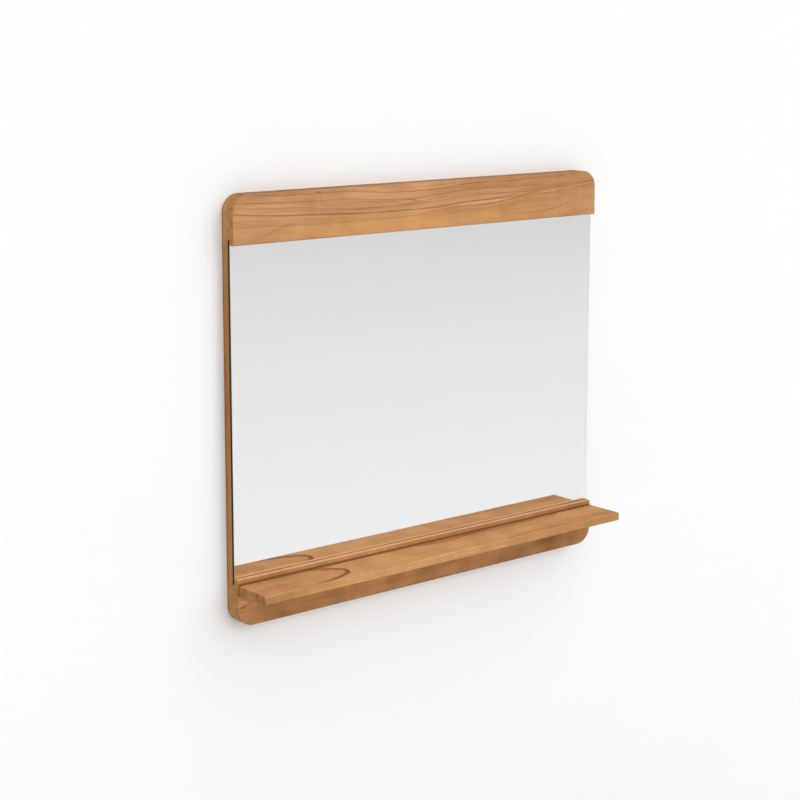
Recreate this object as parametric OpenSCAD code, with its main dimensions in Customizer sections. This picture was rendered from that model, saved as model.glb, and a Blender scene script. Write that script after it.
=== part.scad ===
// Wall mirror with a shelf. Two solid boards are joined by upright stiles. The glass stands in
// grooves of the boards, in front of the stiles, and a shelf board is fixed to the lower board.
// Two keyhole plates in the header's back hang it on screws, and a thin panel closes the back.
//
// +X is the width, to the right as seen from the front. +Y points into the wall and +Z up.
// The origin lies midway between the round entries of the two keyholes, on the back face.

/* [Overall] */
// Width across the boards, the glass and the shelf
overall_w = 800; // [640:10:1200]
// Height from the lower board's bottom edge to the header's top edge
overall_h = 700; // [500:10:1000]
// Radius of the four outer corners, seen from the front
corner_r = 30; // [12:1:34]
// Radius of the sanded edges of the boards and the shelf
edge_ease = 1; // [0.5:0.1:1.5]

/* [Boards] */
// Height of the header board
header_h = 80; // [76:1:120]
// Height of the lower board
lower_h = 80; // [76:1:120]
// Thickness of the header and the lower board
board_t = 31; // [29:0.5:38]
// Thickness of the lip that stands in front of the glass
lip_t = 10; // [7:0.5:12]
// Depth of the glass groove in the header's lower edge
header_groove = 9; // [7:0.5:11]
// Depth of the glass groove in the lower board's upper edge
lower_groove = 10; // [8:0.5:11]

/* [Stiles] */
// Width of the left and right stiles
stile_w = 45; // [38:1:60]
// Width of the centre stile
centre_stile_w = 60; // [44:1:80]
// Thickness of the tenons
tenon_t = 6; // [4:0.5:7]
// Length of the tenons on the left and right stiles
tenon_l = 25; // [12:1:30]
// Length of the stub tenons on the centre stile
stub_l = 8; // [5:0.5:9]
// Shoulder on both sides of a tenon's width
tenon_shoulder = 8; // [5:0.5:12]

/* [Glass] */
// Thickness of the mirror glass
glass_t = 4; // [3:0.5:5]
// Ground edge on the upright ends of the glass
glass_arris = 0.4; // [0.2:0.1:0.8]
// Thickness of the mounting tape and the glazing strips behind the glass
tape_t = 1; // [0.6:0.1:1.4]
// Width of the mounting tape on the stiles
tape_w = 25; // [12:1:34]
// Height of the blocks that the glass stands on
block_h = 2; // [1:0.5:3]
// Length of the blocks that the glass stands on
block_l = 40; // [20:1:80]
// Distance from the end of the glass to the middle of a block
block_inset = 150; // [60:5:250]

/* [Back panel] */
// Thickness of the back panel
panel_t = 4; // [3:0.5:5]
// Width of the rebate that the panel lies in
rebate_w = 9; // [7:0.5:10]
// Number of screws along the panel's upper and lower edge, an even number
panel_row_n = 6; // [4:2:8]
// Number of screws along each upright
panel_column_n = 3; // [2:1:5]
// Distance from the panel's side edge to the first screw of a row
panel_row_inset = 40; // [25:1:60]
// Distance from the panel's upper edge to the first screw of a column
panel_column_inset = 90; // [60:5:120]

/* [Hangers] */
// Distance from the board's end to the middle of a keyhole plate
hanger_inset = 100; // [70:1:200]
// Distance from the header's top edge down to the middle of a keyhole's entry
hanger_drop = 45; // [40:1:50]
// Length of a keyhole plate
plate_l = 48; // [44:1:52]
// Width of a keyhole plate
plate_w = 17; // [15:0.5:22]
// Thickness of a keyhole plate
plate_t = 2; // [1.5:0.5:3]
// Radius of the keyhole's round entry
entry_r = 5; // [4.5:0.1:5.5]
// Half the width of the keyhole's slot
slot_r = 2.6; // [2:0.1:3]
// Distance from the middle of the entry to the middle of the slot's upper end
slot_l = 10; // [8:0.5:11]
// Distance from a keyhole plate's end to its screw
plate_screw_edge = 6; // [5:0.5:7]
// Depth of the pocket behind the plate, where the wall screw's head sits
head_pocket = 9; // [6:0.5:12]
// How much wider than the entry that pocket is, on each side
head_pocket_room = 1.5; // [1:0.5:2]

/* [Shelf] */
// How far the shelf stands out from the lower board
shelf_d = 76; // [50:1:120]
// Thickness of the shelf
shelf_t = 14; // [12:0.5:18]
// Distance from the lower board's top edge down to the shelf's top
shelf_drop = 9; // [8:0.5:16]
// Number of screws that hold the shelf
shelf_screw_n = 4; // [3:1:6]
// Distance from the shelf's end to the first screw
shelf_screw_inset = 60; // [50:1:90]
// Diameter of the dowels between the shelf and the lower board
dowel_d = 6; // [5:0.5:8]
// Length of each dowel in the shelf, and in the board
dowel_half = 20; // [12:1:24]

/* [Screws] */
// Diameter of the screws in the back panel
panel_screw_d = 3; // [2.5:0.5:3.5]
// Length of the screws in the back panel
panel_screw_l = 12; // [10:0.5:13]
// Diameter of the screws in the keyhole plates
hanger_screw_d = 3.5; // [3:0.5:4]
// Length of the screws in the keyhole plates
hanger_screw_l = 16; // [12:1:20]
// Diameter of the screws that hold the shelf
shelf_screw_d = 4; // [3.5:0.5:4.5]
// Length of the screws that hold the shelf
shelf_screw_l = 50; // [42:1:60]
// How far the head of a shelf screw is sunk below the back face
shelf_screw_sink = 1; // [0:0.5:2]

/* [Wall pads] */
// Diameter of the felt pads on the back
pad_d = 20; // [10:1:24]
// Thickness of the felt pads
pad_t = 1.5; // [1:0.5:3]
// Distance from the end of a board to the middle of a pad
pad_inset = 40; // [32:1:60]

/* [Clearances] */
// Play between the glass and the lip in front of it
glass_fit = 0.2; // [0.1:0.1:0.4]
// Room above the glass in the header's groove
glass_headroom = 2; // [1:0.5:3]
// Play around a tenon, a dowel or a screw in its hole
joint_fit = 0.1; // [0.05:0.05:0.2]
// Room at the end of a mortise or a dowel hole
end_room = 1; // [0.5:0.5:2]
// Gap around the back panel in its rebate, and its depth below the back face
panel_fit = 0.5; // [0.2:0.1:1]
// Gap around a keyhole plate in its recess
plate_fit = 0.3; // [0.2:0.1:0.6]

/* [Hidden] */
$fn = 72;

WOOD = "#c48c58";
WOOD_SHADE = "#b47c4b";
BEECH = "#d9b98c";
PLYWOOD = "#cdae84";
MIRROR = "#dfe4e6";
BLACK = "#2c2825";
STEEL = "#b9bcc0";
FELT = "#6f6a64";

// A cutter reaches this far past the face that it opens
OVER = 1;
// Straight rim of a countersunk head, and the width of its cross recess
HEAD_RIM = 0.4;
RECESS_W = 0.9;
// Chamfer on the ends of a dowel
DOWEL_CHAMFER = 0.8;

// Heights of the boards' edges
top_z = hanger_drop;
bottom_z = top_z - overall_h;
header_bottom_z = top_z - header_h;
lower_top_z = bottom_z + lower_h;
stile_h = header_bottom_z - lower_top_z;

// Layers from the back face to the front
groove_w = glass_t + tape_t + glass_fit;
back_t = board_t - lip_t - groove_w;
tape_y = -back_t;
glass_back_y = tape_y - tape_t;
front_y = -board_t;
panel_rebate = panel_t + panel_fit;
panel_y = -panel_rebate;
web_t = back_t - panel_rebate;
tenon_y = -panel_rebate - web_t / 2;

// Glass
glass_bottom_z = lower_top_z - lower_groove + block_h;
glass_top_z = header_bottom_z + header_groove - glass_headroom;

// Back panel and its rebate
bay_w = overall_w - 2 * stile_w;
rebate_bay_w = bay_w + 2 * rebate_w;
panel_w = rebate_bay_w - 2 * panel_fit;
panel_top_z = header_bottom_z + rebate_w - panel_fit;
panel_bottom_z = lower_top_z - rebate_w + panel_fit;
panel_screw_edge = (rebate_w - panel_fit) / 2;

// Shelf
shelf_top_z = lower_top_z - shelf_drop;
shelf_mid_z = shelf_top_z - shelf_t / 2;
shelf_screw_pitch = (overall_w - 2 * shelf_screw_inset) / (shelf_screw_n - 1);

// Keyhole plates
hanger_x = overall_w / 2 - hanger_inset;
plate_mid_z = slot_l / 2;
plate_screw_z = plate_l / 2 - plate_screw_edge;

// ---- shared shapes ----

// Box given by its middle in X, its back face in Y and its lower face in Z, standing forward
module slab(w, d, h) {
    translate([-w / 2, -d, 0]) cube([w, d, h]);
}

// Flat obround in the XZ plane: r around a line of length l up Z from the origin, depth d forward
module obround(r, l, d) {
    rotate([90, 0, 0]) linear_extrude(d) {
        circle(r = r);
        translate([0, l]) circle(r = r);
        translate([-r, 0]) square([2 * r, l]);
    }
}

// What sanding takes off a square edge: the corner outside a quarter circle
module edge_waste() {
    difference() {
        square(edge_ease + OVER);
        circle(r = edge_ease);
    }
}

// Edge waste along X, for the edge where a face to -Y meets a face to +Z at the origin
module edge_waste_x(l) {
    translate([-l / 2, edge_ease, -edge_ease])
        rotate([90, 0, 90]) mirror([1, 0, 0]) linear_extrude(l) edge_waste();
}

// Edge waste along Z, for the edge where a face to -Y meets a face to +X at the origin
module edge_waste_z(l) {
    translate([-edge_ease, edge_ease, 0]) mirror([0, 1, 0]) linear_extrude(l) edge_waste();
}

// Edge waste round an outer corner of radius corner_r in the XZ plane, centred on its axis
module edge_waste_corner() {
    translate([0, edge_ease, 0]) rotate([90, 0, 0])
        rotate_extrude(angle = 90) translate([corner_r - edge_ease, 0]) edge_waste();
}

// Countersunk wood screw of diameter d and length l, its head's face at the origin, its point
// forward. The head is twice as wide as the thread.
module wood_screw(d, l) {
    head_h = HEAD_RIM + d / 2;
    rotate([90, 0, 0]) difference() {
        rotate_extrude() polygon([
            [0, 0], [d, 0], [d, HEAD_RIM], [d / 2, head_h], [d / 2, l - d], [d / 16, l], [0, l]
        ]);
        for (a = [0, 90]) rotate(a)
            translate([-d * 0.6, -RECESS_W / 2, -OVER]) cube([d * 1.2, RECESS_W, OVER + head_h * 0.7]);
    }
}

// Hole for such a screw, open to the back through the head
module screw_hole(d, l) {
    head_h = HEAD_RIM + d / 2;
    r = d / 2 + joint_fit;
    mouth_y = shelf_screw_sink + OVER;
    rotate([90, 0, 0]) rotate_extrude() polygon([
        [0, -mouth_y], [d + joint_fit, -mouth_y], [d + joint_fit, HEAD_RIM], [r, head_h],
        [r, l + joint_fit], [0, l + joint_fit]
    ]);
}

// Dowel along Y, centred on the origin, with chamfered ends
module dowel() {
    r = dowel_d / 2;
    c = DOWEL_CHAMFER;
    rotate([90, 0, 0]) rotate_extrude() polygon([
        [0, -dowel_half], [r - c, -dowel_half], [r, c - dowel_half],
        [r, dowel_half - c], [r - c, dowel_half], [0, dowel_half]
    ]);
}

module dowel_hole() {
    half = dowel_half + end_room;
    rotate([90, 0, 0]) translate([0, 0, -half]) cylinder(r = dowel_d / 2 + joint_fit, h = 2 * half);
}

// ---- where the fixings go ----

module each_side() {
    children();
    mirror([1, 0, 0]) children();
}

module at_hangers() {
    for (side = [-1, 1]) translate([side * hanger_x, 0, 0]) children();
}

module at_plate_screws() {
    for (side = [-1, 1]) translate([0, 0, plate_mid_z + side * plate_screw_z]) children();
}

module at_shelf_screw_heads() {
    for (i = [0 : shelf_screw_n - 1])
        translate([-overall_w / 2 + shelf_screw_inset + i * shelf_screw_pitch,
                   -shelf_screw_sink, shelf_mid_z]) children();
}

module at_shelf_dowels() {
    for (i = [0 : shelf_screw_n - 2])
        translate([-overall_w / 2 + shelf_screw_inset + (i + 0.5) * shelf_screw_pitch,
                   front_y, shelf_mid_z]) children();
}

module at_panel_screws() {
    row_w = panel_w - 2 * panel_row_inset;
    for (i = [0 : panel_row_n - 1]) for (z = [panel_top_z - panel_screw_edge,
                                              panel_bottom_z + panel_screw_edge])
        translate([-row_w / 2 + i * row_w / (panel_row_n - 1), -panel_fit, z]) children();
    column_h = panel_top_z - panel_bottom_z - 2 * panel_column_inset;
    column_x = panel_w / 2 - panel_screw_edge;
    for (i = [0 : panel_column_n - 1]) for (x = [-column_x, 0, column_x])
        translate([x, -panel_fit,
                   panel_bottom_z + panel_column_inset + i * column_h / (panel_column_n - 1)])
            children();
}

module at_pads() {
    for (x = [pad_inset - overall_w / 2, overall_w / 2 - pad_inset])
        for (z = [bottom_z + pad_inset, top_z - pad_inset]) translate([x, 0, z]) children();
}

// ---- boards ----

// Front outline of a board: rounded corners on the outer edge, square ones on the inner edge
module board_outline(h) {
    w = overall_w;
    translate([-w / 2, 0]) square([w, h - corner_r]);
    translate([-w / 2 + corner_r, 0]) square([w - 2 * corner_r, h]);
    for (side = [-1, 1]) translate([side * (w / 2 - corner_r), h - corner_r]) circle(r = corner_r);
}

// Sanded edges of a board's front face along its ends and its rounded outer edge
module board_face_waste(h) {
    w = overall_w;
    translate([0, 0, h]) edge_waste_x(w - 2 * corner_r);
    each_side() {
        translate([w / 2, 0, -OVER]) edge_waste_z(h - corner_r + OVER);
        translate([w / 2 - corner_r, 0, h - corner_r]) edge_waste_corner();
    }
}

// Mortise in the inner edge at x = 0 for a tenon of width w and length l
module mortise(w, l) {
    depth = l + end_room;
    t = tenon_t + 2 * joint_fit;
    translate([0, tenon_y + t / 2, -OVER]) slab(w + 2 * joint_fit, t, depth + OVER);
}

// Board with its grooved inner edge on Z = 0 and its rounded outer edge at Z = h
module board(h, groove) {
    difference() {
        rotate([90, 0, 0]) linear_extrude(board_t) board_outline(h);
        translate([0, -back_t, -OVER]) slab(overall_w + 2 * OVER, groove_w, groove + OVER);
        translate([0, OVER, -OVER]) slab(rebate_bay_w, panel_rebate + OVER, rebate_w + OVER);
        mortise(centre_stile_w - 2 * tenon_shoulder, stub_l);
        each_side()
            translate([overall_w / 2 - stile_w / 2, 0, 0])
                mortise(stile_w - 2 * tenon_shoulder, tenon_l);
        translate([0, front_y, 0]) {
            board_face_waste(h);
            mirror([0, 0, 1]) edge_waste_x(overall_w + 2 * OVER);
        }
        mirror([0, 1, 0]) board_face_waste(h);
    }
}

module header_board() {
    color(WOOD) difference() {
        translate([0, 0, header_bottom_z]) board(header_h, header_groove);
        at_hangers() {
            translate([0, OVER, plate_mid_z - (plate_l - plate_w) / 2])
                obround(plate_w / 2 + plate_fit, plate_l - plate_w, plate_t + OVER);
            obround(entry_r + head_pocket_room, slot_l, plate_t + head_pocket);
            at_plate_screws() screw_hole(hanger_screw_d, hanger_screw_l);
        }
        at_panel_screws() screw_hole(panel_screw_d, panel_screw_l);
    }
}

module lower_board() {
    color(WOOD) difference() {
        translate([0, 0, lower_top_z]) mirror([0, 0, 1]) board(lower_h, lower_groove);
        at_shelf_screw_heads() screw_hole(shelf_screw_d, shelf_screw_l);
        at_shelf_dowels() dowel_hole();
        at_panel_screws() screw_hole(panel_screw_d, panel_screw_l);
    }
}

// ---- stiles ----

// Tenons at both ends of a stile that stands on the lower board
module stile_tenons(w, l) {
    translate([0, tenon_y + tenon_t / 2, lower_top_z - l])
        slab(w - 2 * tenon_shoulder, tenon_t, stile_h + 2 * l);
}

// Right-hand stile, rebated for the back panel along its inner edge
module side_stile() {
    mid_x = overall_w / 2 - stile_w / 2;
    difference() {
        translate([mid_x, 0, 0]) {
            translate([0, 0, lower_top_z]) slab(stile_w, back_t, stile_h);
            stile_tenons(stile_w, tenon_l);
        }
        translate([0, OVER, lower_top_z - OVER])
            slab(rebate_bay_w, panel_rebate + OVER, stile_h + 2 * OVER);
        translate([overall_w / 2, 0, lower_top_z - OVER])
            mirror([0, 1, 0]) edge_waste_z(stile_h + 2 * OVER);
        at_panel_screws() screw_hole(panel_screw_d, panel_screw_l);
    }
}

module left_stile() {
    color(WOOD_SHADE) mirror([1, 0, 0]) side_stile();
}

module right_stile() {
    color(WOOD_SHADE) side_stile();
}

module centre_stile() {
    color(WOOD_SHADE) difference() {
        union() {
            translate([0, panel_y, lower_top_z]) slab(centre_stile_w, web_t, stile_h);
            stile_tenons(centre_stile_w, stub_l);
        }
        at_panel_screws() screw_hole(panel_screw_d, panel_screw_l);
    }
}

// ---- glass and what holds it ----

module mirror_glass() {
    w = overall_w / 2;
    back = glass_back_y;
    front = back - glass_t;
    color(MIRROR) translate([0, 0, glass_bottom_z])
        linear_extrude(glass_top_z - glass_bottom_z) polygon([
            [-w, back - glass_arris], [-w, front + glass_arris], [-w + glass_arris, front],
            [w - glass_arris, front], [w, front + glass_arris], [w, back - glass_arris],
            [w - glass_arris, back], [-w + glass_arris, back]
        ]);
}

// Strip of mounting tape on the front of a stile, centred on x
module tape_strip(x) {
    color(BLACK) translate([x, tape_y, lower_top_z]) slab(tape_w, tape_t, stile_h);
}

module left_mirror_tape() {
    tape_strip(tape_w / 2 - overall_w / 2);
}

module right_mirror_tape() {
    tape_strip(overall_w / 2 - tape_w / 2);
}

module centre_mirror_tape() {
    tape_strip(0);
}

// Packing behind the glass inside a groove, between the two heights
module glazing_strip(z0, z1) {
    color(BLACK) translate([0, tape_y, z0]) slab(overall_w, tape_t, z1 - z0);
}

module upper_glazing_strip() {
    glazing_strip(header_bottom_z, glass_top_z);
}

module lower_glazing_strip() {
    glazing_strip(glass_bottom_z, lower_top_z);
}

module setting_blocks() {
    block_x = overall_w / 2 - block_inset;
    color(BLACK) for (x = [-block_x, block_x])
        translate([x, tape_y, lower_top_z - lower_groove]) slab(block_l, groove_w - glass_fit, block_h);
}

// ---- back ----

module back_panel() {
    color(PLYWOOD) difference() {
        translate([0, -panel_fit, panel_bottom_z])
            slab(panel_w, panel_t, panel_top_z - panel_bottom_z);
        at_panel_screws() screw_hole(panel_screw_d, panel_screw_l);
    }
}

module panel_screws() {
    color(STEEL) at_panel_screws() wood_screw(panel_screw_d, panel_screw_l);
}

// Keyhole plate with its entry at the origin
module hanger_plate() {
    color(STEEL) difference() {
        translate([0, 0, plate_mid_z - (plate_l - plate_w) / 2])
            obround(plate_w / 2, plate_l - plate_w, plate_t);
        translate([0, OVER, 0]) {
            rotate([90, 0, 0]) cylinder(r = entry_r, h = plate_t + 2 * OVER);
            obround(slot_r, slot_l, plate_t + 2 * OVER);
        }
        at_plate_screws() screw_hole(hanger_screw_d, hanger_screw_l);
    }
}

module left_hanger_plate() {
    translate([-hanger_x, 0, 0]) hanger_plate();
}

module right_hanger_plate() {
    translate([hanger_x, 0, 0]) hanger_plate();
}

module hanger_screws() {
    color(STEEL) at_hangers() at_plate_screws() wood_screw(hanger_screw_d, hanger_screw_l);
}

module wall_pads() {
    color(FELT) at_pads() rotate([-90, 0, 0]) cylinder(d = pad_d, h = pad_t);
}

// ---- shelf ----

module shelf_board() {
    color(WOOD) difference() {
        translate([0, front_y, shelf_top_z - shelf_t]) slab(overall_w, shelf_d, shelf_t);
        translate([0, front_y - shelf_d, shelf_top_z]) {
            edge_waste_x(overall_w + 2 * OVER);
            translate([0, 0, -shelf_t]) mirror([0, 0, 1]) edge_waste_x(overall_w + 2 * OVER);
            each_side() translate([overall_w / 2, 0, -shelf_t - OVER]) edge_waste_z(shelf_t + 2 * OVER);
        }
        at_shelf_screw_heads() screw_hole(shelf_screw_d, shelf_screw_l);
        at_shelf_dowels() dowel_hole();
    }
}

module shelf_dowels() {
    color(BEECH) at_shelf_dowels() dowel();
}

module shelf_screws() {
    color(STEEL) at_shelf_screw_heads() wood_screw(shelf_screw_d, shelf_screw_l);
}

header_board();
lower_board();
left_stile();
right_stile();
centre_stile();
mirror_glass();
left_mirror_tape();
right_mirror_tape();
centre_mirror_tape();
upper_glazing_strip();
lower_glazing_strip();
setting_blocks();
back_panel();
panel_screws();
left_hanger_plate();
right_hanger_plate();
hanger_screws();
wall_pads();
shelf_board();
shelf_dowels();
shelf_screws();
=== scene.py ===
import math
from dataclasses import dataclass

import bmesh
import bpy
from bpy.props import FloatProperty, FloatVectorProperty, IntProperty, PointerProperty
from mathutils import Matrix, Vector


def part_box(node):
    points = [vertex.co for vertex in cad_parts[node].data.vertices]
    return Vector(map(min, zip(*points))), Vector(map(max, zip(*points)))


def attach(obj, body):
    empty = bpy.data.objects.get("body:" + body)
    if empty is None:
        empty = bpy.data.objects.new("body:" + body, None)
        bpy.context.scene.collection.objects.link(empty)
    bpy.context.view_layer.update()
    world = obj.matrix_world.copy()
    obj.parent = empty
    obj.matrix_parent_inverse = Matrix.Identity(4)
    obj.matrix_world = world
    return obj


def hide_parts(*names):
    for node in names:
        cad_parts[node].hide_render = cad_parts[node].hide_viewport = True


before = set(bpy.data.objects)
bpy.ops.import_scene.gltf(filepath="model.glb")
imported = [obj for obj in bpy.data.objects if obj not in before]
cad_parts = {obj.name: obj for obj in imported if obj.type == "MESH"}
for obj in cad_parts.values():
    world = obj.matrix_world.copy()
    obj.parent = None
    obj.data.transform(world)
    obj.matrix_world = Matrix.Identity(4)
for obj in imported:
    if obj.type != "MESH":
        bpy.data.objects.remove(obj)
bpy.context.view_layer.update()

bl_info = {
    "name": "Wall mirror with a shelf",
    "version": (1, 0, 0),
    "blender": (4, 5, 0),
    "location": "View3D > Sidebar > Mirror",
    "description": "Models and finishes a teak wall mirror with a narrow shelf",
    "category": "Object",
}

MM = 0.001


# ---- sizes that the frame gives ----

def node_box(name):
    """Lowest and highest corner of a solid of the frame."""
    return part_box(name)


HEADER_LOW, HEADER_HIGH = node_box("header_board")
LOWER_LOW, LOWER_HIGH = node_box("lower_board")
SHELF_LOW, SHELF_HIGH = node_box("shelf_board")
GLASS_LOW, GLASS_HIGH = node_box("mirror_glass")
_, TAPE_HIGH = node_box("left_mirror_tape")
PANEL_LOW, PANEL_HIGH = node_box("back_panel")
PLATE_LOW, PLATE_HIGH = node_box("left_hanger_plate")
CENTRE_LOW, CENTRE_HIGH = node_box("centre_stile")
STILE_LOW, STILE_HIGH = node_box("right_stile")
PADS_LOW, PADS_HIGH = node_box("wall_pads")


# ---- sizes that are fixed ----

TOLERANCE = 0.01 * MM         # places nearer than this are the same
SHARP_ANGLE = 0.9             # radians, edges with a wider turn than this are eased
ARRIS_SEGMENTS, FINE_SEGMENTS, GLASS_SEGMENTS, END_SEGMENTS = 3, 2, 1, 16
END_SHARE = 0.9999            # of half a block's width, so that its round ends don't collapse
END_WELD = 0.004 * MM         # closes the slit that this leaves
COARSE_ROUND, FINE_ROUND = 32, 64   # sides of screws and their holes, of pads and entries
CUT_OVER = 2 * MM             # how far a cutter stands out of the wood
JOINT_PLAY = 0.1 * MM         # room round a tenon or a screw
MORTISE_ROOM = 1 * MM         # room beyond the end of a tenon
SCREW_RIM = 0.4 * MM          # straight rim of a countersunk head
HEAD_CHAMFER = 0.15 * MM      # bevel on the face of a screw's head
RECESS_HALF = 0.42 * MM       # half the width of a wing of the cross recess in that face
RECESS_SPAN = 0.6             # the recess's reach, in thread diameters
RECESS_DEPTH = 0.75           # its depth, in head heights
RECESS_TAPER = 0.45           # its size at the bottom against that at the face
PAD_FLAT = 0.6                # inner ring on the face of a felt pad against its flat part
PANEL_ROW_COUNT, PANEL_COLUMN_COUNT = 6, 3
PANEL_ROW_INSET, PANEL_COLUMN_INSET = 40 * MM, 90 * MM
PANEL_EDGE_INSET = 4.25 * MM  # from the panel's edge to its screws
SHELF_SCREW_COUNT = 4
SHELF_SCREW_INSET = 60 * MM   # from the shelf's end to its first screw
SHELF_SCREW_SINK = 1 * MM
DOWEL_HOLE_RADIUS = 3.1 * MM
DOWEL_HOLE_LENGTH = 24 * MM   # of the cutter, which stands out of the wood by 3 mm
DOWEL_HOLE_MIDDLE = 9 * MM
WALL_GAP = 0.2 * MM           # between the pads and the studio's wall
WALL_SIDE = 30.0
FLOOR_SIDE = 60.0
FAR_FLOOR = 15.0              # from here on, the floor melts into the background
LAMP_PLACE = (0, 1.6, 0.25)   # of the lamp behind the wall
LAMP_TILT = 0.3               # radians, down towards the mirror
LAMP_SIDE = 0.7


# ---- what a user may change ----

def length(name, text, default):
    return FloatProperty(
        name=name, description=text, default=default, min=0.0, unit="LENGTH", precision=5)


def share(name, text, default):
    return FloatProperty(
        name=name, description=text, default=default, min=0.0, max=1.0, subtype="FACTOR")


def colour(name, text, default):
    return FloatVectorProperty(
        name=name, description=text, default=default, size=3, min=0.0, max=1.0, subtype="COLOR")


def amount(name, text, default, **more):
    return FloatProperty(name=name, description=text, default=default, **more)


class BoardSizes(bpy.types.PropertyGroup):
    """Sizes of the wooden boards that their boxes don't give."""

    corner_radius: length("Corner radius", "Radius of the four outer corners", 30 * MM)
    arris_radius: length("Arris radius", "Radius of the sanded outer edges", 1 * MM)
    fine_arris: length(
        "Fine arris", "Radius of the edges beside the glass and at the shelf's ends", 0.35 * MM)
    lip_thickness: length("Lip thickness", "Wood in front of the glass", 10 * MM)
    header_groove: length("Header groove", "Depth of the glass groove in the header", 9 * MM)
    lower_groove: length("Lower groove", "Depth of the glass groove in the lower board", 10 * MM)
    rebate_width: length("Rebate width", "Width of the rebate for the back panel", 9 * MM)
    rebate_depth: length("Rebate depth", "Depth of the rebate for the back panel", 4.5 * MM)
    tenon_thickness: length("Tenon thickness", "Thickness of the tenons", 6 * MM)
    tenon_shoulder: length("Tenon shoulder", "Shoulder on both sides of a tenon", 8 * MM)
    tenon_length: length("Tenon length", "Length of the tenons of the side stiles", 25 * MM)
    stub_length: length("Stub tenon length", "Length of the tenons of the centre stile", 8 * MM)
    corner_segments: IntProperty(
        name="Corner segments", description="Flats that make up a rounded corner",
        default=24, min=8, max=64)


class FittingSizes(bpy.types.PropertyGroup):
    """Sizes of the glass's arris, the hangers, the screws and the pads."""

    glass_arris: length("Glass arris", "Ground arris on the upright edges of the glass", 0.4 * MM)
    panel_arris: length("Panel arris", "Rounding of the back panel's edges", 0.4 * MM)
    entry_radius: length("Entry radius", "Radius of the keyhole's round entry", 5 * MM)
    slot_radius: length("Slot radius", "Half the width of the keyhole's slot", 2.6 * MM)
    slot_length: length("Slot length", "From the entry's middle to the slot's upper end", 10 * MM)
    plate_thickness: length("Plate thickness", "Thickness of a keyhole plate", 2 * MM)
    plate_screw_edge: length("Plate screw edge", "From a plate's end to its screw", 6 * MM)
    plate_play: length("Plate play", "Gap around a keyhole plate in its recess", 0.3 * MM)
    plate_arris: length("Plate arris", "Rounding of a keyhole plate's edges", 0.3 * MM)
    pocket_radius: length("Pocket radius", "Radius of the pocket behind a keyhole", 6.5 * MM)
    pocket_depth: length("Pocket depth", "Depth of that pocket from the back face", 11 * MM)
    panel_screw: length("Panel screw", "Thread diameter of the back panel's screws", 3 * MM)
    panel_screw_length: length("Panel screw length", "Length of those screws", 12 * MM)
    hanger_screw: length("Hanger screw", "Thread diameter of the hangers' screws", 3.5 * MM)
    hanger_screw_length: length("Hanger screw length", "Length of those screws", 16 * MM)
    shelf_screw: length("Shelf screw", "Thread diameter of the shelf's screws", 4 * MM)
    shelf_screw_length: length("Shelf screw length", "Length of those screws", 50 * MM)
    pad_diameter: length("Pad diameter", "Diameter of a felt pad", 20 * MM)
    pad_arris: length("Pad arris", "Rounding of a felt pad's edge", 0.5 * MM)


class WoodFinish(bpy.types.PropertyGroup):
    """Colours and sheen of the oiled wood."""

    light: colour("Light wood", "Pale early wood", (0.520, 0.252, 0.098))
    middle: colour("Middle wood", "Wood between the lines", (0.450, 0.204, 0.073))
    dark: colour("Dark wood", "Fine darker grain", (0.300, 0.122, 0.040))
    line: colour("Dark lines", "Strong dark lines", (0.175, 0.070, 0.026))
    knot: colour("Knot lines", "Brown lines round a knot", (0.180, 0.074, 0.024))
    pale: colour("Pale lines", "Pale lines between the dark ones", (0.640, 0.345, 0.155))
    # painted highlight: the pale colour laid on the upward-facing arrises and on the lip's top
    rubbed: colour("Arris highlight", "Painted highlight on the upper arrises", (0.760, 0.455, 0.225))
    warm: colour("Warm wood", "Plain orange wood", (0.560, 0.255, 0.080))
    end: colour("End grain", "Sawn ends", (0.260, 0.112, 0.036))
    end_strength: share("End grain strength", "How far the sawn ends take that colour", 0.25)
    roughness: share("Roughness", "Roughness of the oiled surface", 0.50)
    grain_depth: length("Grain depth", "Depth of the open pores", 0.05 * MM)


class MirrorFinish(bpy.types.PropertyGroup):
    """Colours of the mirror glass."""

    silver: colour("Silver", "Tint of the reflection", (0.940, 0.941, 0.941))
    edge: colour("Glass edge", "Colour of the sealed edge", (0.012, 0.009, 0.008))
    arris: colour("Glass arris", "Colour of the ground arris", (0.30, 0.305, 0.305))
    paint: colour("Backing paint", "Colour of the paint on the silver", (0.20, 0.21, 0.22))
    roughness: share("Roughness", "Roughness of the clean glass", 0.012)


class FittingFinish(bpy.types.PropertyGroup):
    """Colours of the steel, tape, felt and plywood."""

    zinc: colour("Zinc", "Colour of the zinc plating", (0.56, 0.58, 0.60))
    tape: colour("Tape", "Colour of the mounting tape", (0.014, 0.012, 0.011))
    rubber: colour("Rubber", "Colour of the setting blocks", (0.022, 0.022, 0.023))
    felt: colour("Felt", "Colour of the wall pads", (0.135, 0.120, 0.108))
    plywood: colour("Plywood", "Colour of the panel's face veneer", (0.56, 0.38, 0.20))
    beech: colour("Beech", "Colour of the dowels", (0.62, 0.42, 0.24))


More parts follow.
